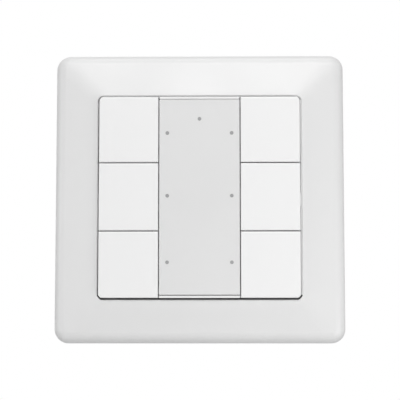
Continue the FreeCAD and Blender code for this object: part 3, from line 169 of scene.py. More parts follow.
class StageSettings(bpy.types.PropertyGroup):
    """The floor, the light and the camera."""

    floor_drop: length_property("Floor drop", "Height of the object's middle over the floor", 0.22)
    floor_size: length_property("Floor size", "Width of the round floor", 1.6)
    camera_distance: length_property("Camera distance", "From the camera to the object's middle", 0.393)
    camera_rise: angle_property("Camera rise", "Upward tilt of the camera", 5.5)
    camera_turn: angle_property("Camera turn", "How far the camera stands to the right", 0.93)
    lens: bpy.props.FloatProperty(
        name="Lens", description="Focal length of the camera in millimetres", default=117.1, min=1
    )
    ambient: bpy.props.FloatProperty(
        name="Ambient", description="Strength of the light from all round", default=0.1, min=0
    )
    front_light: power_property("Front light", "Power of the large lamp over the camera", 7.9)
    top_light: power_property("Top light", "Power of the lamp above the object", 3.6)
    right_light: power_property("Right light", "Power of the lamp on the right", 1.2)
    left_light: power_property("Left light", "Power of the lamp on the left", 3.0)
    near_light: power_property("Near light", "Power of the small lamp low on the right", 0.17)


def finish_settings():
    return bpy.context.scene.wall_button_finish


def detail_settings():
    return bpy.context.scene.wall_button_detail


def stage_settings():
    return bpy.context.scene.wall_button_stage


# Shader groups: the effects behind the finishes.


def start_group(name, inputs, outputs):
    """A new shader group with its named inputs and outputs, and its two end nodes."""
    group = bpy.data.node_groups.new(name, "ShaderNodeTree")
    for socket, kind, default in inputs:
        entry = group.interface.new_socket(socket, in_out="INPUT", socket_type=kind)
        entry.default_value = default
    for socket, kind in outputs:
        group.interface.new_socket(socket, in_out="OUTPUT", socket_type=kind)
    return group, group.nodes.new("NodeGroupInput"), group.nodes.new("NodeGroupOutput")


def add_node(tree, kind, **values):
    """A node with its properties set by name, and its input sockets by {index or name: value}."""
    node = tree.nodes.new(kind)
    for socket, value in values.pop("inputs", {}).items():
        node.inputs[socket].default_value = value
    for name, value in values.items():
        setattr(node, name, value)
    return node


def own_place(tree):
    """Places on the piece itself, which stay with it when it moves."""
    return add_node(tree, "ShaderNodeTexCoord").outputs["Object"]


def spread(tree, source, low, high, to_low, to_high):
    """Stretch a texture's value to a range. The last two may be sockets of the group's input."""
    node = add_node(tree, "ShaderNodeMapRange", inputs={"From Min": low, "From Max": high})
    tree.links.new(source, node.inputs["Value"])
    for socket, value in (("To Min", to_low), ("To Max", to_high)):
        if isinstance(value, (int, float)):
            node.inputs[socket].default_value = value
        else:
            tree.links.new(value, node.inputs[socket])
    return node.outputs["Result"]


def blend_colours(tree, factor, first, second):
    node = add_node(tree, "ShaderNodeMix", data_type="RGBA")
    tree.links.new(factor, node.inputs["Factor"])
    tree.links.new(first, node.inputs["A"])
    tree.links.new(second, node.inputs["B"])
    return node.outputs["Result"]


FINISH_OUTPUTS = [
    ("Colour", "NodeSocketColor"),
    ("Roughness", "NodeSocketFloat"),
    ("Height", "NodeSocketFloat"),
]
NOISE_RANGE = (0.3, 0.7)  # nearly all values of a noise texture lie between these
CRYSTAL_RANGE = (0.1, 0.9)  # and those of the crystals' greys between these
TRACE_SPACING = 0.12  # the copper lines' distance, as a share of the pattern's cells
TRACE_EDGE = (0.05, 0.07)  # where a copper line's edge begins and ends in that distance


def finish_inputs(patch_scale, grain_scale, smoothest, roughest):
    return [
        ("Colour", "NodeSocketColor", (0.8, 0.8, 0.8, 1)),
        ("Shade", "NodeSocketColor", (0.7, 0.7, 0.7, 1)),
        ("Patch Scale", "NodeSocketFloat", patch_scale),
        ("Grain Scale", "NodeSocketFloat", grain_scale),
        ("Smoothest", "NodeSocketFloat", smoothest),
        ("Roughest", "NodeSocketFloat", roughest),
    ]


def add_texture(group, kind, place, scale, **values):
    """A texture at those places, with its scale from a socket of the group's input."""
    texture = add_node(group, kind, **values)
    group.links.new(place, texture.inputs["Vector"])
    group.links.new(scale, texture.inputs["Scale"])
    return texture


def spread_gloss(group, given, source, low, high):
    """Roughness that runs from the group's smoothest to its roughest."""
    return spread(group, source, low, high, given.outputs["Smoothest"], given.outputs["Roughest"])


def end_group(group, colour, roughness, height, end):
    group.links.new(colour, end.inputs["Colour"])
    group.links.new(roughness, end.inputs["Roughness"])
    group.links.new(height, end.inputs["Height"])
    return group


def build_moulded_grain():
    """Moulded plastic: a fine eroded grain, with slow changes of tone and gloss across the piece."""
    group, given, end = start_group("moulded_grain", finish_inputs(45, 5200, 0.32, 0.42), FINISH_OUTPUTS)
    place = own_place(group)
    noise = {"Detail": 3, "Roughness": 0.6}
    grain = add_texture(group, "ShaderNodeTexNoise", place, given.outputs["Grain Scale"], inputs=noise)
    noise = {"Detail": 2, "Roughness": 0.45}
    patches = add_texture(group, "ShaderNodeTexNoise", place, given.outputs["Patch Scale"], inputs=noise)
    tone = spread(group, patches.outputs["Fac"], *NOISE_RANGE, 0, 1)
    colour = blend_colours(group, tone, given.outputs["Colour"], given.outputs["Shade"])
    roughness = spread_gloss(group, given, patches.outputs["Fac"], *NOISE_RANGE)
    return end_group(group, colour, roughness, grain.outputs["Fac"], end)


def build_rolled_metal():
    """Rolled or drawn metal: long streaks along Z with small scratches."""
    group, given, end = start_group("rolled_metal", finish_inputs(120, 900, 0.25, 0.45), FINISH_OUTPUTS)
    stretch = add_node(group, "ShaderNodeMapping", inputs={"Scale": (1, 1, 0.08)})
    group.links.new(own_place(group), stretch.inputs["Vector"])
    place = stretch.outputs["Vector"]
    noise = {"Detail": 5, "Roughness": 0.65}
    streaks = add_texture(group, "ShaderNodeTexNoise", place, given.outputs["Grain Scale"], inputs=noise)
    noise = {"Detail": 1}
    broad = add_texture(group, "ShaderNodeTexNoise", place, given.outputs["Patch Scale"], inputs=noise)
    tone = spread(group, broad.outputs["Fac"], *NOISE_RANGE, 0, 1)
    colour = blend_colours(group, tone, given.outputs["Colour"], given.outputs["Shade"])
    roughness = spread_gloss(group, given, streaks.outputs["Fac"], *NOISE_RANGE)
    return end_group(group, colour, roughness, streaks.outputs["Fac"], end)


def build_zinc_bloom():
    """Zinc plating: pale crystals of slightly different tone and gloss."""
    group, given, end = start_group("zinc_bloom", finish_inputs(900, 4000, 0.3, 0.46), FINISH_OUTPUTS)
    place = own_place(group)
    scale = given.outputs["Patch Scale"]
    crystals = add_texture(group, "ShaderNodeTexVoronoi", place, scale, inputs={"Randomness": 1})
    grey = add_node(group, "ShaderNodeRGBToBW")
    group.links.new(crystals.outputs["Color"], grey.inputs["Color"])
    scale = given.outputs["Grain Scale"]
    fine = add_texture(group, "ShaderNodeTexNoise", place, scale, inputs={"Detail": 3})
    colour = blend_colours(group, grey.outputs["Val"], given.outputs["Colour"], given.outputs["Shade"])
    roughness = spread_gloss(group, given, grey.outputs["Val"], *CRYSTAL_RANGE)
    return end_group(group, colour, roughness, fine.outputs["Fac"], end)


def build_board_traces():
    """A circuit board: fine straight copper lines under the solder mask, with a woven ground."""
    group, given, end = start_group("board_traces", finish_inputs(480, 5000, 0.25, 0.5), FINISH_OUTPUTS)
    place = own_place(group)
    lines = add_texture(
        group, "ShaderNodeTexVoronoi", place, given.outputs["Patch Scale"],
        distance="MANHATTAN", feature="F1", inputs={"Randomness": 0.55},
    )
    rings = add_node(group, "ShaderNodeMath", operation="PINGPONG", inputs={1: TRACE_SPACING})
    group.links.new(lines.outputs["Distance"], rings.inputs[0])
    trace = spread(group, rings.outputs["Value"], *TRACE_EDGE, 0, 1)
    scale = given.outputs["Grain Scale"]
    weave = add_texture(group, "ShaderNodeTexNoise", place, scale, inputs={"Detail": 1})
    colour = blend_colours(group, trace, given.outputs["Shade"], given.outputs["Colour"])
    roughness = spread_gloss(group, given, weave.outputs["Fac"], *NOISE_RANGE)
    return end_group(group, colour, roughness, trace, end)


GROUP_BUILDERS = {
    "moulded_grain": build_moulded_grain,
    "rolled_metal": build_rolled_metal,
    "zinc_bloom": build_zinc_bloom,
    "board_traces": build_board_traces,
}


def effect(name):
    """The shader group of that name, built when it is first asked for."""
    return bpy.data.node_groups.get(name) or GROUP_BUILDERS[name]()


# Finishes. A recipe without a colour takes the setting or the slot's colour of its own name. One without
# gloss, grain or patch keeps its group's values, and one without shade or bump takes SHADE_SHARE and the
# grain's depth. A name in the place of a value is a setting or a slot too. The shade is a share of the
# colour, or a colour of its own. Words with a capital are sockets of the shader.
SHADE_SHARE = 0.97
RECIPES = {
    "frame_white": {"shade": 0.985, "gloss": (0.36, 0.44)},
    "key_white": {"shade": 0.99, "gloss": (0.3, 0.36)},
    "panel_white": {"shade": 0.985, "gloss": (0.34, 0.42)},
    "label_grey": {"gloss": (0.45, 0.6), "grain": 9000, "patch": 30, "bump": 0.000002},
    "clear_cover": {
        "colour": (0.87, 0.87, 0.87), "gloss": (0.3, 0.4), "grain": 7000, "bump": 0.000002,
        "Alpha": "cover_haze", "IOR": 1.49,
    },
    "clear_guide": {
        "colour": (0.48, 0.483, 0.486), "gloss": (0.12, 0.2), "grain": 4000, "bump": 0.000001,
        "Transmission Weight": 0.25, "IOR": 1.49,
    },
    "inner_grey": {"gloss": (0.45, 0.58), "grain": 3600},
    "inner_white": {"gloss": (0.42, 0.55), "grain": 3600},
    "housing_grey": {"shade": 0.9, "gloss": (0.5, 0.66), "grain": 2600, "bump": 0.00001},
    "plated_steel": {"group": "zinc_bloom", "shade": 0.93, "bump": 0.000002, "Metallic": 1},
    "screw_steel": {
        "group": "rolled_metal", "shade": 0.85, "grain": 4000, "bump": 0.000002, "Metallic": 1,
    },
    "rod_steel": {
        "group": "rolled_metal", "colour": (0.62, 0.62, 0.615), "shade": 0.9, "gloss": (0.15, 0.3),
        "bump": 0.000001, "Metallic": 1,
    },
    "can_metal": {
        "group": "rolled_metal", "shade": 0.9, "gloss": (0.18, 0.32), "bump": 0.000001, "Metallic": 1,
    },
    "pin_metal": {
        "group": "rolled_metal", "shade": 0.88, "gloss": (0.2, 0.34), "bump": 0.000001, "Metallic": 1,
    },
    "copper_wire": {
        "group": "rolled_metal", "colour": "copper", "shade": 0.75, "gloss": (0.18, 0.3),
        "bump": 0.000001, "Metallic": 1, "Coat Weight": 0.5,
    },
    "solder": {
        "group": "zinc_bloom", "colour": (0.72, 0.72, 0.73), "shade": 0.85, "patch": 2500,
        "bump": 0.000004, "Metallic": 1,
    },
    "board_green": {
        "group": "board_traces", "shade": (0.09, 0.34, 0.17), "bump": 0.00001,
        "Coat Weight": 0.4, "Coat Roughness": 0.15,
    },
    "chip_black": {
        "colour": "component_black", "shade": 1.4, "gloss": (0.5, 0.62), "grain": 4200, "bump": 0.000004,
    },
    "ferrite": {
        "colour": (0.055, 0.052, 0.05), "shade": 1.5, "gloss": (0.55, 0.7), "grain": 2600, "bump": 0.00001,
    },
    "can_sleeve": {"shade": 1.25, "gloss": (0.22, 0.32), "grain": 2500, "bump": 0.000002},
    "lamp_clear": {"shade": 0.94, "gloss": (0.15, 0.25), "grain": 3000, "bump": 0.000001, "IOR": 1.5},
    "button_red": {"shade": 0.9, "gloss": (0.25, 0.35), "grain": 4000},
    "terminal_red": {"shade": 0.9, "gloss": (0.3, 0.42), "grain": 3500},
    "terminal_dark": {"shade": 1.3, "gloss": (0.34, 0.46), "grain": 3500},
    "floor_white": {"colour": (0.9, 0.9, 0.9), "gloss": (0.6, 0.7), "grain": 900, "bump": 0.00001},
}


def value_of(entry):
    """A value as it stands or, from a name, the finish setting or the slot's colour of that name."""
    if not isinstance(entry, str):
        return entry
    settings = finish_settings()
    return getattr(settings, entry) if hasattr(settings, entry) else slot_colour(entry)


def make_finish(name):
    """A material from its recipe: one effect group feeds the shader's colour, roughness and normal."""
    recipe = RECIPES[name]
    colour = value_of(recipe.get("colour", name))
    shade = recipe.get("shade", SHADE_SHARE)
    if isinstance(shade, float):
        shade = [channel * shade for channel in colour]
    material = bpy.data.materials.new(f"{name}_finish")
    material.use_nodes = True
    tree = material.node_tree
    shader = tree.nodes["Principled BSDF"]
    for socket, value in recipe.items():
        if socket[0].isupper():
            shader.inputs[socket].default_value = value_of(value)
    given = {"Colour": (*colour, 1), "Shade": (*shade, 1)}
    if "gloss" in recipe:
        given["Smoothest"], given["Roughest"] = recipe["gloss"]
    for word, socket in (("grain", "Grain Scale"), ("patch", "Patch Scale")):
        if word in recipe:
            given[socket] = recipe[word]
    effect_node = add_node(tree, "ShaderNodeGroup", node_tree=effect(recipe.get("group", "moulded_grain")))
    for socket, value in given.items():
        effect_node.inputs[socket].default_value = value
    tree.links.new(effect_node.outputs["Colour"], shader.inputs["Base Color"])
    tree.links.new(effect_node.outputs["Roughness"], shader.inputs["Roughness"])
    height = value_of(recipe.get("bump", "grain_depth"))
    relief = add_node(tree, "ShaderNodeBump", inputs={"Strength": 1, "Distance": height})
    tree.links.new(effect_node.outputs["Height"], relief.inputs["Height"])
    tree.links.new(relief.outputs["Normal"], shader.inputs["Normal"])
    material.diffuse_color = (*colour, 1)
    return material


def finish(name):
    """The material of that name, made when it is first asked for."""
    return bpy.data.materials.get(f"{name}_finish") or make_finish(name)


# Tools for the pieces.


def dress(node, finish_name):
    """Give a node of the solid model its finish."""
    piece = NODES[node]
    material = finish(finish_name)
    if not piece.material_slots:
        piece.data.materials.append(material)
    for entry in piece.material_slots:
        entry.material = material


def middle_of(node):
    """The middle of a node across and up, and its front and back as places along Y."""
    low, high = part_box(node)
    return (low.x + high.x) / 2, (low.z + high.z) / 2, low.y, high.y


def circle_loop(across, up, radius, steps=32):
    turn = 2 * math.pi / steps
    return [(across + radius * math.cos(i * turn), up + radius * math.sin(i * turn)) for i in range(steps)]


def cross_loop(across, up, reach, arm):
    """The outline of an upright cross."""
    half = arm / 2
    quarter = [(reach, -half), (reach, half), (half, half)]
    loop = []
    for turn in range(4):
        for x, z in quarter:
            for _ in range(turn):
                x, z = -z, x
            loop.append((across + x, up + z))
    return loop


def cut_loop(across, up, half, cut):
    """The outline of a square with its corners cut off."""
    short = half - cut
    loop = [(-half, -short), (-short, -half), (short, -half), (half, -short)]
    loop += [(half, short), (short, half), (-short, half), (-half, short)]
    return [(across + x, up + z) for x, z in loop]


def round_loop(across, up, half_across, half_up, radius, steps=6):
    """The outline of a rectangle with round corners."""
    loop = []
    for turn, (x, z) in enumerate([(1, 1), (-1, 1), (-1, -1), (1, -1)]):
        middle_across = across + x * (half_across - radius)
        middle_up = up + z * (half_up - radius)
        for step in range(steps + 1):
            angle = (turn + step / steps) * math.pi / 2
            loop.append((middle_across + radius * math.cos(angle), middle_up + radius * math.sin(angle)))
    return loop


def add_ring(shape, loop, depth):
    """An outline's points as corners of the mesh, at one depth."""
    return [shape.verts.new((x, depth, z)) for x, z in loop]


def fill_ring(shape, rings):
    """A flat face inside the first ring and outside the others."""
    edges = [shape.edges.new((ring[i - 1], ring[i])) for ring in rings for i in range(len(ring))]
    bmesh.ops.triangle_fill(shape, use_beauty=True, edges=edges)


def bridge(shape, low, high):
    """Faces between two rings. A ring that repeats one point makes a tip."""
    for i in range(len(low)):
        corners = [low[i - 1], low[i], high[i], high[i - 1]]
        shape.faces.new(list(dict.fromkeys(corners)))


def add_plate(shape, loops, first, second):
    """A plate between two depths, from its outline and the outlines of its holes."""
    ends = []
    for depth in (first, second):
        rings = [add_ring(shape, loop, depth) for loop in loops]
        fill_ring(shape, rings)
        ends.append(rings)
    for low, high in zip(*ends):
        bridge(shape, low, high)


def add_turned(shape, across, up, profile, steps=32, first=None):
    """A turned form along the depth, from its points of depth and radius. It may go on from a first ring."""
    rings = [first] if first else []
    for depth, radius in profile:
        if radius > 0:
            rings.append(add_ring(shape, circle_loop(across, up, radius, steps), depth))
        else:
            rings.append([shape.verts.new((across, depth, up))] * steps)
    for low, high in zip(rings, rings[1:]):
        bridge(shape, low, high)


def add_stack(shape, across, up, levels, cut):
    """A square body with cut corners, from its levels of depth and half side."""
    rings = [add_ring(shape, cut_loop(across, up, half, cut), depth) for depth, half in levels]
    for low, high in zip(rings, rings[1:]):
        bridge(shape, low, high)
    shape.faces.new(rings[0])
    shape.faces.new(rings[-1])


def add_strip(shape, path, width, across):
    """A flat bent strip along pairs of points, one on each of its faces. Its width lies along across."""
    rings = []
    side = across * (width / 2)
    for pair in path:
        rings.append([shape.verts.new(point + way * side) for way in (-1, 1) for point in pair])
    for low, high in zip(rings, rings[1:]):
        for i, j in ((0, 1), (1, 3), (3, 2), (2, 0)):
            shape.faces.new((low[i], low[j], high[j], high[i]))
    for ring in (rings[0], rings[-1]):
        shape.faces.new((ring[0], ring[1], ring[3], ring[2]))


def add_leg(shape, start, out, down, drop, along):
    """One bent chip leg: out of the body, down to the board and out again as a foot."""
    detail = detail_settings()
    reach, foot = 0.0003, 0.0004
    outward, downward = out * detail.leg_thickness, down * detail.leg_thickness
    knee = start + out * reach
    heel = knee + down * drop
    toe = heel + out * foot
    path = [
        (start, start + downward),
        (knee, knee + downward - outward),
        (heel, heel - outward + downward),
        (toe, toe + downward),
    ]
    add_strip(shape, path, detail.leg_width, along)


def place_mesh(name, shape, finish_name):
    """Turn a finished mesh into an object of the scene, with its finish."""
    bmesh.ops.recalc_face_normals(shape, faces=shape.faces)
    mesh = bpy.data.meshes.new(name)
    shape.to_mesh(mesh)
    shape.free()
    mesh.materials.append(finish(finish_name))
    piece = bpy.data.objects.new(name, mesh)
    bpy.context.scene.collection.objects.link(piece)
    return piece


def make_piece(name, shape, finish_name, nodes=(), edge_round=None):
    """Turn a finished mesh into a piece that rides on the wall unit and stands for its nodes."""
    piece = place_mesh(name, shape, finish_name)
    piece.data.polygons.foreach_set("use_smooth", [True] * len(piece.data.polygons))
    piece.data.set_sharp_from_angle(angle=SHARP_ANGLE)
    if edge_round:
        bevel = piece.modifiers.new("edge_round", "BEVEL")
        bevel.width = edge_round
        bevel.segments = 2
        bevel.limit_method = "ANGLE"
        bevel.angle_limit = SHARP_ANGLE
    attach(piece, UNIT)
    if nodes:
        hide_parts(*nodes)


def screw_profile(way, back, neck, head_radius, radius):
    """The depths and radii of a screw from under its head to its tip, with a thread on its shank."""
    detail = detail_settings()
    root_start, crest_start = 0.15, 0.6  # shares of one turn of the thread
    tip = 0.0002
    root = radius - detail.thread_depth
    length = abs(back - neck)
    turns = max(2, int(length / detail.thread_pitch))
    shank = [(neck, head_radius), (neck, radius)]
    for i in range(turns):
        start = neck + way * length * i / turns
        shank.append((start + way * root_start * length / turns, root))
        shank.append((start + way * crest_start * length / turns, radius))
    return [*shank, (back - way * tip, root), (back, 0.0)]


def add_screw(shape, across, up, front, back, neck, head_radius, radius):
    """One screw with a cross recess in its head."""
    detail = detail_settings()
    rim = 0.00012
    widest, deepest = 0.68, 0.85  # the most that the recess takes of the head's radius and height
    taper = 0.8  # the size of the recess's floor beside its mouth
    way = 1 if back > front else -1
    reach = min(detail.recess_reach, head_radius * widest)
    depth = front + way * min(detail.recess_depth, abs(neck - front) * deepest)
    face = add_ring(shape, circle_loop(across, up, head_radius - rim), front)
    mouth = add_ring(shape, cross_loop(across, up, reach, detail.recess_arm), front)
    fill_ring(shape, [face, mouth])
    floor = add_ring(shape, cross_loop(across, up, reach * taper, detail.recess_arm * taper), depth)
    shape.faces.new(floor)
    bridge(shape, mouth, floor)
    profile = [(front + way * rim, head_radius), *screw_profile(way, back, neck, head_radius, radius)]
    add_turned(shape, across, up, profile, first=face)


class PieceOperator:
    """What the operators of the pieces share."""

    bl_options = {"REGISTER", "UNDO"}

    def execute(self, context):
        self.make()
        return {"FINISHED"}


class WALL_BUTTON_OT_outer_frame(PieceOperator, bpy.types.Operator):
    """Give the crowned outer frame its satin white finish"""

    bl_idname = "wall_button.outer_frame"
    bl_label = "Outer Frame"

    def make(self):
        dress("outer_frame", "frame_white")


class WALL_BUTTON_OT_keys(PieceOperator, bpy.types.Operator):
    """Give the six hinged keys their smooth white finish"""

    bl_idname = "wall_button.keys"
    bl_label = "Keys"

    def make(self):
        for key in KEYS:
            dress(key, "key_white")


class WALL_BUTTON_OT_label_panel(PieceOperator, bpy.types.Operator):
    """Give the label carrier, the label sheet and the clear cover their finishes"""

    bl_idname = "wall_button.label_panel"
    bl_label = "Label Panel"

    def make(self):
        dress("label_carrier", "panel_white")
        dress("label_sheet", "label_grey")
        detail = detail_settings()
        low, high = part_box("label_cover")
        low.z += detail.cover_seam
        middle = (low + high) / 2
        half_across, half_up = (high.x - low.x) / 2, (high.z - low.z) / 2
        outline = round_loop(middle.x, middle.z, half_across, half_up, detail.cover_corner)
        holes = [circle_loop(*middle_of(guide)[:2], detail.cover_hole, steps=24) for guide in GUIDES]
        cover = bmesh.new()
        add_plate(cover, [outline, *holes], low.y, high.y - detail.cover_lift)
        make_piece("clear_cover_plate", cover, "clear_cover", ["label_cover"])


class WALL_BUTTON_OT_light_guides(PieceOperator, bpy.types.Operator):
    """Give the seven light guides their clear finish"""

    bl_idname = "wall_button.light_guides"
    bl_label = "Light Guides"

    def make(self):
        for guide in GUIDES:
            dress(guide, "clear_guide")


class WALL_BUTTON_OT_dust_rib(PieceOperator, bpy.types.Operator):
    """Set a thin dust rib into the frame's opening, round the top and both sides of the keys"""

    bl_idname = "wall_button.dust_rib"
    bl_label = "Dust Rib"

    def make(self):
        detail = detail_settings()
        reach, end = detail.rib_reach, -detail.rib_end
        inner = reach - detail.rib_width
        shift = detail.rib_slimmer / 2
        outside = round_loop(0, 0, reach, reach, detail.rib_corner)
        inside = round_loop(-shift, 0, inner + shift, inner, detail.rib_corner - detail.rib_width)
        half = len(outside) // 2
        outline = [(reach, end), *outside[:half], (-reach, end), (-inner - 2 * shift, end)]
        outline += [*reversed(inside[:half]), (inner, end)]
        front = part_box("outer_frame")[0].y + detail.rib_sink
        rib = bmesh.new()
        add_plate(rib, [outline], front, front + detail.rib_depth)
        make_piece("dust_rib", rib, "frame_white")


class WALL_BUTTON_OT_reflector_films(PieceOperator, bpy.types.Operator):
    """Lay two thin white reflector films on the key board, beside the light guides"""

    bl_idname = "wall_button.reflector_films"
    bl_label = "Reflector Films"

    def make(self):
        detail = detail_settings()
        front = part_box("key_board")[0].y
        films = bmesh.new()
        for side in (-1, 1):
            half_across, half_up = detail.film_width / 2, detail.film_length / 2
            outline = round_loop(side * detail.film_across, 0, half_across, half_up, half_across / 2)
            add_plate(films, [outline], front - detail.film_thickness, front)
        make_piece("reflector_films", films, "inner_white")


class WALL_BUTTON_OT_hinge_rods(PieceOperator, bpy.types.Operator):
    """Give the two hinge rods their ground steel finish"""

    bl_idname = "wall_button.hinge_rods"
    bl_label = "Hinge Rods"

    def make(self):
        for side in ("left", "right"):
            dress(f"hinge_rod_{side}", "rod_steel")


class WALL_BUTTON_OT_key_unit(PieceOperator, bpy.types.Operator):
    """Give the key carrier and the rear shell their moulded finishes"""

    bl_idname = "wall_button.key_unit"
    bl_label = "Key Unit"

    def make(self):
        dress("key_carrier", "inner_grey")
        dress("rear_shell", "inner_white")


class WALL_BUTTON_OT_key_switches(PieceOperator, bpy.types.Operator):
    """Give the six push switches and their plungers their finishes"""

    bl_idname = "wall_button.key_switches"
    bl_label = "Key Switches"

    def make(self):
        for switch in SWITCHES:
            dress(switch, "can_metal")
        for plunger in PLUNGERS:
            dress(plunger, "chip_black")


class WALL_BUTTON_OT_boards(PieceOperator, bpy.types.Operator):
    """Give the two circuit boards their solder mask and copper lines"""

    bl_idname = "wall_button.boards"
    bl_label = "Circuit Boards"

    def make(self):
        dress("key_board", "board_green")
        dress("coupler_board", "board_green")


class WALL_BUTTON_OT_support_plate(PieceOperator, bpy.types.Operator):
    """Give the support plate its zinc-plated steel"""

    bl_idname = "wall_button.support_plate"
    bl_label = "Support Plate"

    def make(self):
        dress("support_plate", "plated_steel")


class WALL_BUTTON_OT_housing(PieceOperator, bpy.types.Operator):
    """Give the housing in the wall box and its lid their grey plastic"""

    bl_idname = "wall_button.housing"
    bl_label = "Housing and Lid"

    def make(self):
        dress("coupler_housing", "housing_grey")
        dress("coupler_lid", "housing_grey")


class WALL_BUTTON_OT_screws(PieceOperator, bpy.types.Operator):
    """Cut the three sets of four screws with cross recesses and threads"""

    bl_idname = "wall_button.screws"
    bl_label = "Screws"

    def make(self):
        for node, (way, head_height, head_radius, radius) in SCREWS.items():
            low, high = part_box(node)
            reach_across = (high.x - low.x) / 2 - head_radius
            reach_up = (high.z - low.z) / 2 - head_radius
            front, back = (high.y, low.y) if way > 0 else (low.y, high.y)
            neck = front - way * head_height
            shape = bmesh.new()
            for across, up in CORNERS:
                add_screw(shape, across * reach_across, up * reach_up, front, back, neck, head_radius, radius)
            make_piece(f"cut_{node}", shape, "screw_steel", [node])


class WALL_BUTTON_OT_choke(PieceOperator, bpy.types.Operator):
    """Wind the choke: a ferrite drum with enamelled copper wire round its waist"""

    bl_idname = "wall_button.choke"
    bl_label = "Choke"

    def make(self):
        detail = detail_settings()
        low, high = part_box("choke")
        across, up, front, back = middle_of("choke")
        radius = (high.x - low.x) / 2
        rim, waist, lip = 0.001, 0.0034, 0.00025
        profile = [(front, 0.0), (front, radius - lip), (front + lip, radius), (front + rim - lip, radius)]
        profile += [(front + rim, radius - lip), (front + rim, waist), (back - rim, waist)]
        profile += [(back - rim, radius - lip), (back - rim + lip, radius), (back, radius), (back, 0.0)]
        shape = bmesh.new()
        add_turned(shape, across, up, profile, steps=48)
        make_piece("choke_core", shape, "ferrite", ["choke"])
        thickness = detail.wire_thickness
        start = front + rim + thickness
        end = back - rim - thickness
        steps_in_turn = 16
        steps = steps_in_turn * int((end - start) / thickness)
        curve = bpy.data.curves.new("choke_winding", "CURVE")
        curve.dimensions = "3D"
        curve.bevel_depth = thickness / 2
        curve.bevel_resolution = 3
        for layer in (0.5, 1.4):  # the layers' middles over the waist, in thicknesses of the wire
            reach = waist + thickness * layer
            line = curve.splines.new("POLY")
            line.points.add(steps)
            for i, entry in enumerate(line.points):
                angle = i * 2 * math.pi / steps_in_turn
                depth = start + (end - start) * i / steps
                entry.co = (across + reach * math.cos(angle), depth, up + reach * math.sin(angle), 1)
            line.use_smooth = True
        curve.materials.append(finish("copper_wire"))
        winding = bpy.data.objects.new("choke_winding", curve)
        bpy.context.scene.collection.objects.link(winding)
        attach(winding, UNIT)


class WALL_BUTTON_OT_capacitors(PieceOperator, bpy.types.Operator):
    """Make the two round capacitors with their sleeves, crimp grooves and scored tops"""

    bl_idname = "wall_button.capacitors"
    bl_label = "Capacitors"

    def make(self):
        low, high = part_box("capacitors")
        radius = (high.z - low.z) / 2
        up = (high.z + low.z) / 2
        top, board = high.y, low.y
        foot_inset, foot_round = 0.00012, 0.0003
        groove, groove_reach, groove_depth = board + 0.0018, 0.0005, 0.0004
        shoulder, shoulder_round = 0.00035, 0.0001
        rim, rim_slope, rim_depth = 0.0008, 0.0001, 0.0002
        can_inset, can_front, can_back = 0.00095, 0.00005, 0.00018
        score_share, score_width = 0.55, 0.0002
        profile = [
            (board, 0.0),
            (board, radius - foot_inset - foot_round),
            (board + foot_round, radius),
            (groove - groove_reach, radius),
            (groove, radius - groove_depth),
            (groove + groove_reach, radius),
            (top - shoulder, radius),
            (top - shoulder_round, radius - shoulder_round),
            (top, radius - shoulder),
            (top, radius - rim),
            (top - rim_depth, radius - rim - rim_slope),
            (top - rim_depth, 0.0),
        ]
        sleeve = bmesh.new()
        can = bmesh.new()
        for across in (low.x + radius, high.x - radius):
            add_turned(sleeve, across, up, profile, steps=40)
            face = circle_loop(across, up, radius - can_inset)
            score = cross_loop(across, up, radius * score_share, score_width)
            add_plate(can, [face, score], top - can_front, top - can_back)
        make_piece("capacitor_sleeves", sleeve, "can_sleeve", ["capacitors"])
        make_piece("capacitor_tops", can, "can_metal")


class WALL_BUTTON_OT_chips(PieceOperator, bpy.types.Operator):
    """Make the control chip and the transceiver chip with their bent legs"""

    bl_idname = "wall_button.chips"
    bl_label = "Chips"

    def make(self):
        detail = detail_settings()
        corner_cut, stand_off = 0.0003, 0.0001
        face_inset, waist_inset, foot_inset = 0.00025, 0.00008, 0.0002
        dot_share, dot_height, dot_radius, dot_foot = 0.62, 0.00002, 0.00035, 0.0004
        waist_low, waist_high, leg_level = 0.45, 0.6, 0.5  # shares of the body's height, from its face
        leg_sink, leg_share = 0.0001, 0.84
        ways = [(axis, way) for axis in (0, 2) for way in (1, -1)]  # right, left, up and down
        chips = {"control_chip": (1, detail.chip_legs, 4), "transceiver_chip": (-1, 4, 2)}
        for node, (to_board, legs, sides) in chips.items():
            low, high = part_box(node)
            across, up, front, back = middle_of(node)
            face, board = (front, back) if to_board > 0 else (back, front)
            half = (high.x - low.x) / 2
            height = abs(face - board)
            waist = half - waist_inset
            levels = [
                (face, half - face_inset),
                (face + to_board * height * waist_low, waist),
                (face + to_board * height * waist_high, waist),
                (board - to_board * stand_off, half - foot_inset),
            ]
            body = bmesh.new()
            add_stack(body, across, up, levels, corner_cut)
            dot = face - to_board * dot_height
            profile = [(dot, 0.0), (dot, dot_radius), (face, dot_foot)]
            add_turned(body, across - half * dot_share, up + half * dot_share, profile, steps=20)
            make_piece(f"{node}_body", body, "chip_black", [node], detail.edge_round)
            metal = bmesh.new()
            level = face + to_board * height * leg_level
            drop = abs(board - level) - detail.leg_thickness
            for axis, way in ways[:sides]:
                out, along = Vector(), Vector()
                out[axis] = way
                along[2 - axis] = 1
                for i in range(legs):
                    shift = (i - (legs - 1) / 2) * (2 * half * leg_share / (legs - 1))
                    start = Vector((across, level, up)) + out * (half - leg_sink) + along * shift
                    add_leg(metal, start, out, Vector((0, to_board, 0)), drop, along)
            make_piece(f"{node}_legs", metal, "solder")


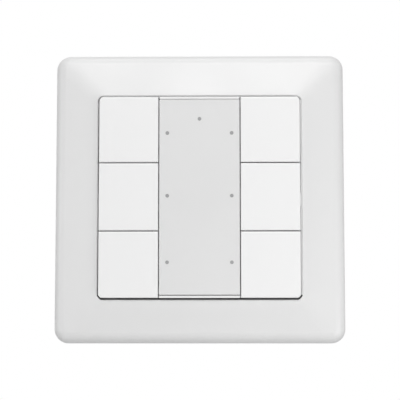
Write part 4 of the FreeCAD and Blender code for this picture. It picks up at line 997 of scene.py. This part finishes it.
class WALL_BUTTON_OT_small_parts(PieceOperator, bpy.types.Operator):
    """Give the crystal, lamps, plug, pins and programming switch their finishes"""

    bl_idname = "wall_button.small_parts"
    bl_label = "Small Parts"

    def make(self):
        dress("crystal", "can_metal")
        dress("indicator_lamps", "lamp_clear")
        dress("programming_lamp", "button_red")
        dress("programming_switch", "chip_black")
        dress("link_socket", "chip_black")
        dress("link_header", "chip_black")
        dress("link_pins", "pin_metal")
        dress("programming_button", "button_red")


class WALL_BUTTON_OT_terminal(PieceOperator, bpy.types.Operator):
    """Give the two halves of the plug-on terminal and its pins their finishes"""

    bl_idname = "wall_button.terminal"
    bl_label = "Terminal"

    def make(self):
        dress("terminal_half_left", "terminal_red")
        dress("terminal_half_right", "terminal_dark")
        dress("terminal_pins", "pin_metal")


def make_floor(settings):
    """A pale round floor, which keeps the object's shadow."""
    thickness = 0.004
    shape = bmesh.new()
    add_plate(shape, [circle_loop(0, 0, settings.floor_size / 2, steps=64)], 0, thickness)
    lie_down = Vector((0, 1, 0)).rotation_difference((0, 0, -1)).to_matrix()
    bmesh.ops.rotate(shape, verts=shape.verts, cent=(0, 0, 0), matrix=lie_down)
    bmesh.ops.translate(shape, verts=shape.verts, vec=(0, 0, -settings.floor_drop))
    floor = place_mesh("studio_floor", shape, "floor_white")


def make_world(settings):
    """An even grey surround for the light, which the camera, gloss and clear pieces see as white."""
    world = bpy.data.worlds.new("studio_surround")
    bpy.context.scene.world = world
    world.use_nodes = True
    tree = world.node_tree
    tree.nodes.clear()
    path = add_node(tree, "ShaderNodeLightPath")
    either = add_node(tree, "ShaderNodeMath", operation="MAXIMUM")
    any_of = add_node(tree, "ShaderNodeMath", operation="MAXIMUM")
    tree.links.new(path.outputs["Is Camera Ray"], either.inputs[0])
    tree.links.new(path.outputs["Is Glossy Ray"], either.inputs[1])
    tree.links.new(either.outputs["Value"], any_of.inputs[0])
    tree.links.new(path.outputs["Is Transmission Ray"], any_of.inputs[1])
    mix = add_node(tree, "ShaderNodeMixShader")
    tree.links.new(any_of.outputs["Value"], mix.inputs["Fac"])
    for socket, strength in ((1, settings.ambient), (2, 1)):
        values = {"Color": (1, 1, 1, 1), "Strength": strength}
        surround = add_node(tree, "ShaderNodeBackground", inputs=values)
        tree.links.new(surround.outputs["Background"], mix.inputs[socket])
    end = add_node(tree, "ShaderNodeOutputWorld")
    tree.links.new(mix.outputs["Shader"], end.inputs["Surface"])


def make_lamp(name, place, size, power):
    """A soft square lamp that looks at the middle of the object."""
    data = bpy.data.lights.new(name, "AREA")
    data.shape = "SQUARE"
    data.size = size
    data.energy = power
    lamp = bpy.data.objects.new(name, data)
    lamp.location = place
    lamp.rotation_euler = (-Vector(place)).to_track_quat("-Z", "Y").to_euler()
    bpy.context.scene.collection.objects.link(lamp)


def make_camera(settings):
    """The camera of the main view: from the front, a little below the middle."""
    data = bpy.data.cameras.new("front_camera")
    data.lens = settings.lens
    data.sensor_width = 36
    data.clip_start = 0.01
    data.clip_end = 20
    camera = bpy.data.objects.new("front_camera", data)
    rise = settings.camera_rise
    turn = settings.camera_turn
    across = math.cos(rise) * math.sin(turn)
    depth = -math.cos(rise) * math.cos(turn)
    camera.location = Vector((across, depth, -math.sin(rise))) * settings.camera_distance
    camera.rotation_euler = (math.pi / 2 + rise, 0, turn)
    bpy.context.scene.collection.objects.link(camera)
    bpy.context.scene.camera = camera


class WALL_BUTTON_OT_stage(PieceOperator, bpy.types.Operator):
    """Set up the pale floor, the surround, the soft lamps and the camera"""

    bl_idname = "wall_button.stage"
    bl_label = "Stage"

    def make(self):
        settings = stage_settings()
        make_floor(settings)
        make_world(settings)
        for name, (place, size) in LAMPS.items():
            make_lamp(f"{name}_lamp", place, size, getattr(settings, f"{name}_light"))
        make_camera(settings)
        bpy.context.scene.view_settings.view_transform = "Standard"


SETTINGS = {
    "wall_button_finish": FinishSettings,
    "wall_button_detail": DetailSettings,
    "wall_button_stage": StageSettings,
}

OPERATORS = [
    WALL_BUTTON_OT_outer_frame,
    WALL_BUTTON_OT_keys,
    WALL_BUTTON_OT_label_panel,
    WALL_BUTTON_OT_light_guides,
    WALL_BUTTON_OT_dust_rib,
    WALL_BUTTON_OT_reflector_films,
    WALL_BUTTON_OT_hinge_rods,
    WALL_BUTTON_OT_key_unit,
    WALL_BUTTON_OT_key_switches,
    WALL_BUTTON_OT_boards,
    WALL_BUTTON_OT_support_plate,
    WALL_BUTTON_OT_housing,
    WALL_BUTTON_OT_screws,
    WALL_BUTTON_OT_choke,
    WALL_BUTTON_OT_capacitors,
    WALL_BUTTON_OT_chips,
    WALL_BUTTON_OT_small_parts,
    WALL_BUTTON_OT_terminal,
    WALL_BUTTON_OT_stage,
]


class WALL_BUTTON_PT_panel(bpy.types.Panel):
    """Settings and pieces of the push button"""

    bl_idname = "WALL_BUTTON_PT_panel"
    bl_label = "Push Button"
    bl_space_type = "VIEW_3D"
    bl_region_type = "UI"
    bl_category = "Push Button"

    def draw(self, context):
        for name, settings in SETTINGS.items():
            column = self.layout.column()
            column.label(text=settings.__doc__)
            for entry in settings.__annotations__:
                column.prop(getattr(context.scene, name), entry)
        for operator in OPERATORS:
            self.layout.operator(operator.bl_idname)


def register():
    for settings in SETTINGS.values():
        bpy.utils.register_class(settings)
    for operator in OPERATORS:
        bpy.utils.register_class(operator)
    bpy.utils.register_class(WALL_BUTTON_PT_panel)
    for name, settings in SETTINGS.items():
        setattr(bpy.types.Scene, name, bpy.props.PointerProperty(type=settings))


def unregister():
    for name in SETTINGS:
        delattr(bpy.types.Scene, name)
    bpy.utils.unregister_class(WALL_BUTTON_PT_panel)
    for operator in reversed(OPERATORS):
        bpy.utils.unregister_class(operator)
    for settings in reversed(SETTINGS.values()):
        bpy.utils.unregister_class(settings)


def main():
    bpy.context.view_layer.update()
    register()
    for operator in OPERATORS:
        category, name = operator.bl_idname.split(".")
        getattr(getattr(bpy.ops, category), name)()


if __name__ == "__main__":
    main()
